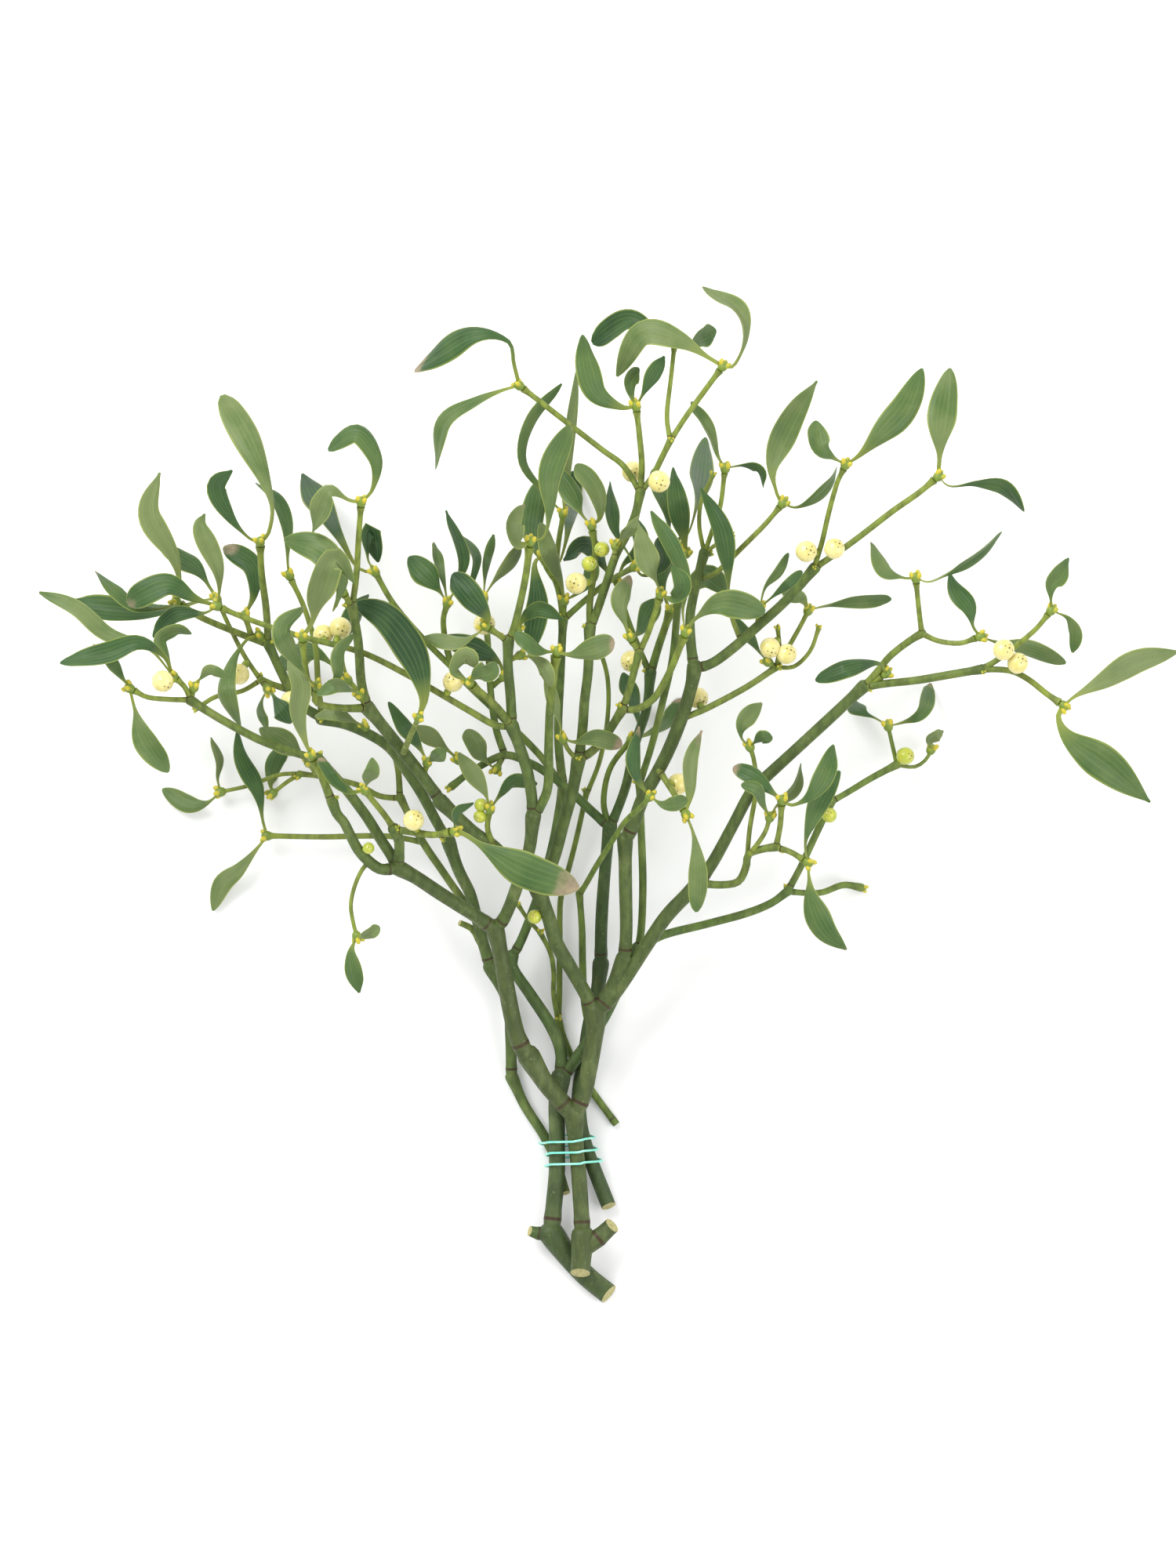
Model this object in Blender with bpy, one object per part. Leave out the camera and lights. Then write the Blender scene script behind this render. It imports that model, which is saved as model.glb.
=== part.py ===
"""A mistletoe bunch as cut, lying on a surface: five forking stems, leaf pairs, berries and a tie wire.

Measures are in millimetres until the meshes are made. Each leaf pair, berry and stem is one closed body.
"""

import math

import bmesh
import bpy
import numpy as np
from mathutils import Quaternion, Vector

MM = 0.001
FLOOR_GAP = 0.7  # height of a leaf's midrib where it lies on the surface
TIP_GAP = 0.35  # clear space between a twig's end and the bud that sits on it
BUD_RADIUS = 1.7
LEAF_THICKNESS = 1.3
LEAF_STATIONS = 6  # cross-sections from a leaf's base to its apex
LEAF_CLEARANCE = 2.6  # between a leaf's midsurface and anything else, on top of that thing's radius
LIFTS = (0, 3, -3, 6, -6, 9, -9, 12, -12, 16, -16, 20, -20, 25, -25, 30, -30)
WIRE_RADIUS = 0.45
WIRE_GAP = 0.35
WIRE_TURNS = 3
WIRE_TOP = 5.6  # where along Y the winding starts and ends
WIRE_BOTTOM = -7.6
WIRE_STEPS = 16  # points in a turn

STEM_COLOURS = {
    "stem_front": (0.13, 0.17, 0.05),
    "stem_left": (0.11, 0.14, 0.05),
    "stem_back": (0.08, 0.11, 0.04),
    "stem_thin_left": (0.12, 0.16, 0.05),
    "stem_thin_back": (0.09, 0.12, 0.04),
}
LEAF_COLOUR = (0.09, 0.20, 0.05)
BERRY_COLOUR = (0.83, 0.82, 0.56)
WIRE_COLOUR = (0.12, 0.62, 0.50)

# ---------------------------------------------------------------- layout, in millimetres
# X runs to the right and Y up the bunch from the tie; Z is height above the surface that it lies on.

# Shoots: name: (stem, path in X and Y, height at the start and end, radius at the start and end).
SHOOTS = {
    # Front stem: two cut stubs, then a fork into a left and a right half.
    "b_foot": ("stem_front", [(1.5, -47.5), (2, -40), (2.5, -33)], (14.2, 13.8), (4.0, 3.9)),
    "b_stub": ("stem_front", [(3, -38), (8.5, -34), (13.8, -29.2)], (13.9, 13.6), (3.7, 3.3)),
    "b_trunk": ("stem_front", [(2.5, -34), (2, -25), (1, -10), (0, 0)], (13.8, 12.6), (3.2, 3.1)),
    "b_trunk2": ("stem_front", [(0.1, -1), (-0.5, 7), (-1, 14)], (12.6, 16.6), (3.1, 3.3)),
    "b_left": ("stem_front", [(-1, 13), (-7, 20), (-12, 26), (-18.5, 36.5)], (16.8, 22.5), (3.4, 3.8)),
    "b_left2": ("stem_front", [(-18.5, 35.5), (-22, 42), (-24, 48.5), (-26, 58), (-28, 70), (-30, 80),
                               (-31.4, 86)], (22.5, 38), (3.6, 3.1)),
    "l1": ("stem_front", [(-31, 85), (-38, 90), (-45.4, 94.7), (-53, 99.6), (-61, 105), (-68.2, 109)],
           (38, 62), (2.8, 2.7)),
    "l1a": ("stem_front", [(-68, 109), (-74.5, 108.4), (-79.6, 111.8), (-84, 117), (-88.4, 126),
                           (-91.3, 129.6), (-93.2, 135)], (62, 80), (2.3, 1.9)),
    "l1a2": ("stem_front", [(-93.2, 134), (-95.4, 140), (-97.5, 145), (-100, 150)], (80, 89), (1.9, 1.3)),
    "l1b": ("stem_front", [(-68, 108.5), (-70, 112.5), (-74.5, 119.4), (-79.6, 127.7), (-84.6, 134.6),
                           (-89.7, 141), (-96, 148), (-99, 151)], (61, 72), (2.3, 1.9)),
    "l1b2": ("stem_front", [(-98, 150.5), (-106, 152.5), (-120, 157.5), (-135, 165.5), (-147, 173)],
             (72, 92), (1.6, 1.7)),
    "l1b3": ("stem_front", [(-146.5, 173), (-155, 173.2), (-163, 174), (-168, 176.5)], (92, 98), (1.1, 1.0)),
    "l1b4": ("stem_front", [(-146.5, 173), (-149, 178), (-152, 181)], (92, 97), (1.1, 1.0)),
    "l1c": ("stem_front", [(-68, 109), (-67.7, 114), (-67.7, 119.4), (-69.7, 124)], (62, 73), (2.1, 2.0)),
    "l1cr": ("stem_front", [(-69.3, 123.5), (-64.4, 123), (-55, 121.6), (-48, 122.6)], (73, 86), (1.5, 1.3)),
    "l1cl": ("stem_front", [(-69.7, 124), (-73, 129), (-77, 134), (-80.5, 138.4)], (73, 86), (1.3, 1.1)),
    "h2": ("stem_front", [(-79, 111.4), (-82, 108), (-84.8, 101.7), (-86.2, 94.7), (-85.3, 88), (-84, 83)],
           (66.8, 62), (0.9, 0.8)),
    "l2": ("stem_front", [(-31, 85.5), (-28, 89), (-25, 95.5), (-22, 104), (-18, 116), (-16.4, 129)],
           (38, 64), (2.5, 2.6)),
    "l2a": ("stem_front", [(-16.6, 128.5), (-17, 136), (-18.6, 145.6), (-21.8, 155.8), (-24.6, 163.4)],
            (64, 80), (2.2, 2.3)),
    "l2a1": ("stem_front", [(-24.5, 163), (-25, 174), (-26, 186), (-25.8, 196)], (80, 92), (2.0, 2.0)),
    "l2a1u": ("stem_front", [(-25.8, 195), (-23.5, 201), (-21, 211), (-19, 221), (-17.7, 231)], (92, 106),
              (1.5, 1.4)),
    "l2a1l": ("stem_front", [(-25.8, 195), (-29, 197.5), (-33, 200)], (92, 96), (1.3, 1.1)),
    "l2a2": ("stem_front", [(-24.5, 163), (-31, 171), (-39.5, 178.5)], (80, 99), (1.6, 1.4)),
    "l2b": ("stem_front", [(-16.4, 128.5), (-12.9, 134), (-10.7, 141), (-10.5, 156), (-10, 170),
                           (-8.6, 182), (-7.6, 189.5)], (64, 94), (2.0, 1.5)),
    "n3": ("stem_front", [(-24.5, 163), (-31, 163.5), (-40, 168.5), (-52, 175.5), (-65, 183), (-80, 190.5),
                          (-92, 194), (-104, 197), (-117, 201), (-128, 205), (-135, 208)], (79, 84),
                          (1.4, 1.1)),
    "b_right": ("stem_front", [(-1, 13), (3, 22), (5, 32), (7, 45), (7.5, 54)], (16.6, 24), (3.2, 3.7)),
    "r1": ("stem_front", [(7.5, 53), (15, 61), (27, 79), (34.5, 90), (42, 98), (48, 104)], (24, 42),
           (3.0, 2.7)),
    "r1b": ("stem_front", [(47, 103), (53, 112), (60, 125), (67, 138), (73, 144), (86, 156), (100, 169),
                           (110, 178.5)], (42, 70), (2.4, 2.2)),
    "r1r": ("stem_front", [(109.5, 178), (118, 179.3), (130, 180.6), (142, 182.6), (155, 184.8)], (70, 84),
            (1.6, 1.7)),
    "r1r2": ("stem_front", [(154.5, 184.8), (165, 184.2), (172, 181), (179, 175.5), (184, 172)], (84, 90),
             (1.3, 1.2)),
    "r1r3": ("stem_front", [(154.5, 184.8), (160, 188), (168, 194), (175, 200), (179.5, 205.5)], (84, 93),
             (1.2, 1.0)),
    "r1v": ("stem_front", [(109.5, 178), (116.5, 182.2)], (70, 72.5), (1.3, 1.1)),
    "r1u": ("stem_front", [(109.5, 178), (114.5, 183.5), (120, 190), (127, 195.5), (132, 198.5)],
            (70, 84), (1.3, 1.5)),
    "r1u1": ("stem_front", [(131.8, 198), (130.8, 205), (130, 212), (129.4, 217.5)], (84, 94), (1.1, 1.0)),
    "r1u2": ("stem_front", [(131.8, 198.3), (138, 195.5), (146, 194.6), (152, 196.5)], (84, 91), (1.1, 1.0)),
    "r6": ("stem_front", [(47, 103), (55, 102.3), (62, 103.5), (65, 109), (66, 114), (71, 116), (77, 117)],
           (42, 56), (1.6, 1.5)),
    "r6u": ("stem_front", [(76.5, 116.8), (78, 125), (78.5, 133)], (56, 66), (1.2, 1.1)),
    "r6r": ("stem_front", [(76.5, 116.8), (82, 115), (87, 112)], (56, 61), (1.2, 1.1)),
    "r6l": ("stem_front", [(65.5, 112), (66.5, 124), (69, 140), (68, 150), (66.5, 155)], (49, 62),
            (1.0, 0.9)),
    "r2": ("stem_front", [(7.5, 53), (13.5, 62), (18.5, 74)], (24, 31), (3.0, 2.8)),
    "r2b": ("stem_front", [(18.5, 73), (19.2, 85), (18.9, 103), (18.7, 120)], (31, 45), (2.6, 2.7)),
    "r2n": ("stem_front", [(31.5, 146.5), (37, 138), (41, 131)], (57, 66), (1.3, 1.1)),
    "r2c": ("stem_front", [(18.7, 119), (22, 126), (25.5, 135.5), (30.8, 145), (35.8, 155), (40.9, 168),
                           (44, 178.5), (45.3, 186)], (45, 70), (2.7, 2.6)),
    "k1": ("stem_front", [(45, 185), (52, 187.2), (60, 193), (69, 201), (80, 211), (91, 223.5)], (70, 90),
           (2.0, 1.9)),
    "k1a": ("stem_front", [(90.5, 223), (105, 233), (120, 244.5), (130, 251.5), (136, 256.5)], (90, 104),
            (1.3, 1.2)),
    "k1b": ("stem_front", [(90.5, 223), (93.5, 233), (96, 244), (99, 255), (101.5, 260.5)], (90, 107),
            (1.1, 1.0)),
    "k2": ("stem_front", [(45, 185), (43.8, 195), (43.6, 206), (46, 218), (49, 229.5)], (70, 68), (2.1, 1.8)),
    "k2a": ("stem_front", [(46.3, 219), (53, 221.5), (57, 225), (64, 232), (72, 240), (77.5, 246.5)],
            (67, 80),
            (1.1, 1.0)),
    "k2b": ("stem_front", [(49, 229), (52, 238), (55, 247), (56.6, 259.5)], (68, 76), (1.0, 0.9)),
    "k2c": ("stem_front", [(49, 229), (47, 240), (48, 250), (52, 258.5)], (68, 70), (0.9, 0.8)),
    "k2d": ("stem_front", [(49, 229), (54, 233), (58.5, 236)], (68, 72), (0.8, 0.8)),
    "k3": ("stem_front", [(40.3, 166), (50, 170), (65, 178), (77, 186)], (62, 66), (1.3, 1.3)),
    "k3a": ("stem_front", [(76.5, 185.6), (77.6, 193), (77, 200)], (66, 74), (0.9, 0.8)),
    "k3b": ("stem_front", [(76.5, 185.6), (81.5, 194), (86, 202), (88.5, 207)], (66, 71), (1.0, 0.9)),
    "k3c": ("stem_front", [(76.5, 185.6), (83.5, 186), (89.5, 192), (92.5, 200)], (66, 66), (0.9, 0.8)),
    "r4": ("stem_front", [(7.5, 53), (2.6, 62), (-2, 70), (-7.7, 80), (-10.7, 90), (-15, 101)], (24, 40),
           (2.8, 2.9)),
    "p": ("stem_front", [(-14.8, 100), (-9, 111.5), (-4.7, 126.6), (-1.5, 138), (1, 151)], (40, 58),
          (2.5, 2.4)),
    "p1": ("stem_front", [(1, 150), (2.4, 162), (3.2, 173), (4.5, 184), (5.2, 201)], (58, 74), (2.0, 2.0)),
    "p1a": ("stem_front", [(5.2, 200), (8.3, 208), (11, 216), (15, 228), (19, 235.5), (22.5, 243.5),
                           (24.5, 252.5)], (74, 92), (1.7, 1.7)),
    "p1a1": ("stem_front", [(24.4, 252), (25, 262), (24.2, 272), (23, 282.5)], (92, 105), (1.3, 1.1)),
    "p1a2": ("stem_front", [(24.4, 252), (29, 258), (33, 266), (36, 272)], (92, 98), (1.2, 1.2)),
    "p1a2l": ("stem_front", [(35.8, 271.5), (34.5, 281), (36, 295), (37.3, 307)], (98, 100), (1.0, 0.9)),
    "p1a2r": ("stem_front", [(35.8, 271.5), (42, 281), (50, 292), (54.5, 298)], (98, 106), (1.1, 1.1)),
    "p1a3": ("stem_front", [(24.4, 252), (18, 262), (10, 268), (-5, 279.5), (-20, 291)], (92, 110),
             (1.2, 1.1)),
    "p1b": ("stem_front", [(5.2, 200), (5.2, 210), (6.8, 222), (7.2, 231), (6.2, 237.5)], (74, 80),
            (1.4, 1.2)),
    "p2": ("stem_front", [(1, 150.4), (6, 153.5), (11, 159), (18, 170)], (58, 66), (1.7, 1.7)),
    "p2a": ("stem_front", [(17.6, 169.6), (23, 169.6), (29.5, 173.5), (34, 180.5), (37.5, 188), (41, 197)],
            (66, 84), (1.4, 1.4)),
    "p2b": ("stem_front", [(17.6, 169.6), (20.2, 177), (22.5, 185.5), (24, 191.5)], (66, 77), (1.4, 1.5)),
    "p2b2": ("stem_front", [(24, 191.2), (21.5, 195.5)], (77, 80), (1.2, 1.1)),
    "p2b1": ("stem_front", [(24, 191.2), (27.2, 198), (30, 206), (31.6, 211.5)], (77, 87), (1.2, 1.2)),
    "p3": ("stem_front", [(0.6, 150), (-3, 154), (-5, 158)], (58, 63), (1.0, 0.9)),
    "m1": ("stem_front", [(-14.6, 100.6), (-25, 110), (-31.5, 117), (-40, 123), (-52.3, 134.6)], (40, 55),
           (2.6, 2.6)),
    "m1b": ("stem_front", [(-51.6, 134), (-58, 142.8), (-64.4, 151), (-70.7, 159), (-80, 170.5)], (55, 72),
            (2.4, 2.5)),
    "m1c": ("stem_front", [(-79.6, 170), (-82, 180), (-83, 195), (-85.3, 209)], (72, 98), (1.9, 1.8)),
    "m1c1": ("stem_front", [(-85.2, 208.5), (-83.5, 220), (-82.5, 235), (-81.6, 246)], (98, 116), (1.3, 1.1)),
    "m1c2": ("stem_front", [(-85.2, 208.5), (-88, 213)], (98, 104), (1.2, 1.1)),
    "m1d": ("stem_front", [(-79.6, 170), (-90, 170), (-99, 172), (-98.7, 176.5)], (72, 90), (1.7, 1.2)),
    "m1e": ("stem_front", [(-98, 172), (-102, 180), (-103.6, 190), (-104, 195)], (86, 98), (1.3, 1.2)),
    # Short spurs of the front stem that carry one or two leaves each.
    "m1f": ("stem_front", [(-66, 153), (-63, 160), (-60, 166)], (66, 92), (1.3, 1.0)),
    "m1g": ("stem_front", [(-58.5, 143.5), (-57, 149)], (57, 62), (1.1, 1.0)),
    "m1h": ("stem_front", [(-79.6, 170), (-82.5, 174.5)], (72, 77), (1.1, 1.0)),
    "l2a3": ("stem_front", [(-25.8, 195), (-22.5, 199.5)], (92, 88), (1.2, 1.0)),
    "l2a4": ("stem_front", [(-26, 188), (-21.5, 190)], (90, 86), (1.1, 1.0)),
    "l1b5": ("stem_front", [(-146.5, 173), (-145.5, 177.5)], (92, 94), (1.0, 0.9)),
    "p1c": ("stem_front", [(14.5, 226.5), (15, 231.5)], (86, 86), (1.1, 0.9)),
    "k1c": ("stem_front", [(69, 201), (70, 208)], (79, 82), (1.1, 0.9)),
    "k1d": ("stem_front", [(63, 195.6), (60, 203), (58.3, 210)], (76, 72), (1.1, 0.9)),
    "k3d": ("stem_front", [(76.5, 185.6), (73.5, 187.5)], (66, 68), (1.1, 0.9)),
    "r6d": ("stem_front", [(66.5, 114), (72, 122), (74, 128)], (53, 60), (1.0, 0.9)),
    "m1i": ("stem_front", [(-31.5, 117), (-34, 124), (-33, 131)], (48, 56), (1.2, 1.0)),
    # Left stem: thick foot with one stub, crossing behind the front stem to the back of the bunch.
    "a_foot": ("stem_left", [(12.5, -56), (5, -50), (0, -45), (-5, -39), (-10, -32)], (4.6, 8.6), (4.3, 4.1)),
    "a_stub": ("stem_left", [(-9.5, -32.5), (-14, -32.5), (-18, -31.5)], (8.6, 8.2), (3.2, 2.1)),
    "a_trunk": ("stem_left", [(-9.8, -33), (-8.5, -20), (-7.5, -8), (-7.5, 8), (-7.5, 18), (-6, 28)],
                (8.8, 10.6),
                (3.4, 3.3)),
    "f": ("stem_left", [(-6, 27), (-6, 38), (-10, 48), (-17.8, 60), (-24.5, 70), (-24.7, 75)], (10.6, 17),
          (2.6, 2.2)),
    "f2": ("stem_left", [(-24.7, 74.5), (-21.6, 80), (-18.7, 87), (-14, 100), (-9, 118), (-5, 140)], (17, 20),
           (1.9, 1.8)),
    "f3": ("stem_left", [(-5, 139), (-14, 152), (-30, 168), (-46, 184), (-50.5, 196)], (20, 40), (1.5, 1.3)),
    "f3a": ("stem_left", [(-50.3, 195), (-51, 204), (-49.5, 210)], (40, 48), (1.2, 1.1)),
    "f3b": ("stem_left", [(-46, 184), (-58, 196), (-70, 210), (-77, 222)], (36, 50), (1.2, 1.1)),
    "f4": ("stem_left", [(-5, 139), (-7, 160), (-6, 185), (-5, 205)], (20, 42), (1.8, 1.7)),
    "f4a": ("stem_left", [(-5, 204), (-6.5, 214), (-9, 222)], (42, 50), (1.3, 1.2)),
    "f4b": ("stem_left", [(-5, 204), (4, 212), (13, 219), (22, 224)], (42, 53), (1.3, 1.1)),
    "a3": ("stem_left", [(-6, 27), (2, 38), (10, 50), (16, 62), (24, 78)], (10.6, 22), (2.4, 2.3)),
    "v4": ("stem_left", [(24, 77), (25.2, 88), (25.6, 104), (25, 122), (24.3, 142)], (22, 36), (1.6, 1.5)),
    "v4a": ("stem_left", [(24.3, 141), (29, 156), (33, 172), (37, 190), (39, 212)], (36, 56), (1.4, 1.5)),
    "v4b": ("stem_left", [(39, 211), (38.5, 222), (39.5, 231)], (56, 60), (1.3, 1.2)),
    "r5": ("stem_left", [(24, 77), (33, 82.6), (50, 87), (65, 91), (75, 95), (82, 100)], (22, 13),
           (1.7, 1.6)),
    "r5r": ("stem_left", [(81.5, 99.6), (88, 99), (95, 99.2), (103, 102), (110, 101)], (13, 3), (1.2, 1.4)),
    "r5u": ("stem_left", [(81.5, 99.6), (87, 110), (93, 123), (98.5, 134.5)], (13, 15), (1.4, 1.5)),
    "r5v": ("stem_left", [(98, 134), (105, 138), (114, 143.4), (124, 148.7)], (15, 12), (1.2, 1.5)),
    "r5v1": ("stem_left", [(123.7, 148.3), (122, 155.5), (120.3, 163)], (12, 14), (0.9, 0.8)),
    "r5v2": ("stem_left", [(123.7, 148.3), (130.5, 147.6), (135, 150.5), (136.8, 154)], (12, 8), (0.8, 0.7)),
    "f4c": ("stem_left", [(-8, 219), (-11.5, 224), (-12.5, 228)], (49.5, 52), (1.2, 1.0)),
    "f4d": ("stem_left", [(-8, 219), (-7, 232), (-5, 244)], (49.5, 62), (1.2, 1.0)),
    "f4e": ("stem_left", [(-5, 204), (-4.6, 211)], (42, 46), (1.2, 1.0)),
    "v4c": ("stem_left", [(38.7, 224), (42, 229)], (59, 60), (1.1, 1.0)),
    # Short cut stem behind at the right.
    "c_trunk": ("stem_back", [(12.5, -22), (7, -8), (4, 0), (1.5, 10), (1, 22), (3, 35), (5, 48), (8, 60),
                              (9.5, 72)], (5.5, 9.5), (3.0, 2.8)),
    "v2": ("stem_back", [(5, 47.5), (3, 58), (2.4, 72), (2.2, 85), (1.2, 99)], (8.2, 24), (1.6, 1.3)),
    "v2t": ("stem_back", [(1.2, 98.4), (4, 103), (8, 110), (15, 121), (19, 127), (25, 132.5), (28, 136)],
            (24, 76), (1.2, 1.0)),
    "r3": ("stem_back", [(9.5, 71), (9.6, 85), (10.4, 100), (12, 118), (13, 125)], (9.5, 24), (2.6, 2.4)),
    "q": ("stem_back", [(13, 124), (19, 140), (22.5, 156), (27, 170), (28.5, 184)], (24, 40), (1.9, 2.0)),
    "q2": ("stem_back", [(28.5, 183), (31, 192), (34, 201), (36, 207)], (40, 46), (1.7, 1.5)),
    "q3": ("stem_back", [(28.5, 183), (24, 193), (19, 206), (16, 218)], (40, 47), (1.4, 1.2)),
    "n1": ("stem_back", [(13, 124), (5.4, 131), (-2.8, 138.7), (-11, 145), (-18.6, 149.4), (-28, 152),
                         (-40, 146), (-48, 140)], (24, 36), (1.9, 1.4)),
    "n1u": ("stem_back", [(-27.4, 151.8), (-31, 163), (-33, 178), (-34, 196), (-35.5, 212)], (31.5, 46),
            (1.5, 1.2)),
    "t1": ("stem_back", [(13, 124), (10.5, 134), (13, 147), (21, 158)], (24, 31), (1.3, 1.1)),
    "n1v": ("stem_back", [(-33, 178), (-28, 182)], (36, 41), (1.2, 1.0)),
    "n1x": ("stem_back", [(-40, 146), (-45, 150)], (34.5, 37), (1.1, 1.0)),
    "n1w": ("stem_back", [(-28, 152), (-30.5, 147)], (31.5, 35), (1.2, 1.0)),
    # Thin left stem, passing behind the left one.
    "d_trunk": ("stem_thin_left", [(-4, -17), (-8.5, -3), (-13, 6), (-20, 17), (-25, 28)], (3.9, 3.9),
                (1.8, 2.2)),
    "d2": ("stem_thin_left", [(-25, 27), (-25.4, 45), (-26.5, 57), (-33.3, 70.7)], (3.9, 12), (2.2, 2.4)),
    "d3": ("stem_thin_left", [(-33, 70), (-36, 80), (-38.5, 90), (-41, 99), (-45.4, 108), (-49.2, 119)],
           (12, 28), (2.3, 2.4)),
    "d_stub": ("stem_thin_left", [(-36.5, 79), (-40, 85), (-45, 87.5)], (15, 15), (1.5, 1.2)),
    "m2": ("stem_thin_left", [(-49, 118), (-54, 127), (-59.3, 137), (-65.6, 146.6), (-73, 156), (-86, 163),
                              (-98, 166)], (28, 48), (2.2, 2.0)),
    "m2n": ("stem_thin_left", [(-97.5, 166), (-107, 173), (-113, 184), (-118, 195)], (48, 60), (1.9, 1.8)),
    "m2a": ("stem_thin_left", [(-117.8, 194.4), (-130, 199), (-143, 204.5), (-151, 209.5)], (60, 74),
            (1.4, 1.3)),
    "m2b": ("stem_thin_left", [(-117.8, 194.4), (-118.5, 208), (-120, 221), (-120.4, 231.5)], (60, 84),
            (1.5, 1.3)),
    "m2c": ("stem_thin_left", [(-109.5, 177), (-116, 179), (-121, 181)], (52, 55), (1.3, 1.3)),
    "m2cu": ("stem_thin_left", [(-120.8, 180.8), (-127, 190), (-133, 202), (-136.6, 210)], (55, 66),
             (1.0, 0.9)),
    "m2cl": ("stem_thin_left", [(-120.8, 180.8), (-128, 176.6), (-138, 174.4), (-145, 170)], (55, 58),
             (1.0, 0.9)),
    "m2e": ("stem_thin_left", [(-117.8, 194.4), (-121, 197.5)], (60, 62.5), (1.2, 1.0)),
    "m2ce": ("stem_thin_left", [(-120.8, 180.8), (-118.3, 177.5)], (55, 57.5), (1.1, 1.0)),
    "m2f": ("stem_thin_left", [(-124, 196.8), (-126.5, 205)], (63.5, 69), (1.2, 1.0)),
    "m2g": ("stem_thin_left", [(-79, 159), (-81, 162.5)], (42, 44), (1.1, 1.0)),
    "m2d": ("stem_thin_left", [(-97.5, 166), (-99, 180), (-100, 194), (-104, 208), (-109, 219)], (48, 56),
            (1.3, 1.0)),
    "g": ("stem_thin_left", [(-38, 89), (-45, 98), (-52, 108), (-60, 120), (-68, 136)], (17, 12), (1.6, 1.5)),
    "gl": ("stem_thin_left", [(-68, 135.5), (-76, 136.4), (-84, 140.5), (-96, 143.5), (-107, 145)], (12, 10),
           (1.2, 1.1)),
    "gl3": ("stem_thin_left", [(-100, 144), (-103, 149)], (10.5, 18), (1.0, 0.9)),
    "gl1": ("stem_thin_left", [(-106.5, 145), (-112, 141.5), (-117, 137.5)], (10, 8), (0.9, 0.8)),
    "gl2": ("stem_thin_left", [(-106.5, 145), (-115, 144.5), (-126, 140.5), (-137, 138)], (10, 6),
            (0.9, 0.8)),
    "gu": ("stem_thin_left", [(-68, 135.5), (-69, 148), (-73, 160), (-80, 172), (-88, 181)], (12, 20),
           (1.3, 1.0)),
    "h1": ("stem_thin_left", [(-59, 118.5), (-70, 120.6), (-80, 121), (-98, 120.6), (-119, 121)], (12.5, 9),
           (1.2, 1.1)),
    # Very thin stem, cut at the right and rising up the middle.
    "e": ("stem_thin_back", [(15.5, 9.5), (11, 15.5), (7, 21), (1, 30), (-2, 36), (-5, 43), (-7, 50)],
          (1.9, 3.0), (1.5, 1.4)),
    "v1": ("stem_thin_back", [(-7, 49.5), (-6.6, 60), (-6.4, 80), (-6, 97), (-2.5, 110), (0.5, 122),
           (4, 138)],
           (3.0, 12), (1.25, 1.1)),
    "v1b": ("stem_thin_back", [(4, 137), (9, 150), (12, 166), (12, 182), (8, 196)], (12, 20), (1.0, 0.9)),
    "v3": ("stem_thin_back", [(-7, 49.5), (-8.8, 60), (-8.7, 68), (-10, 76), (-14, 84)], (3.0, 24),
           (1.0, 1.0)),
    "v3t": ("stem_thin_back", [(-13.8, 83.5), (-19, 89.5), (-22, 94)], (24, 30), (0.9, 0.8)),
}

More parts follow.
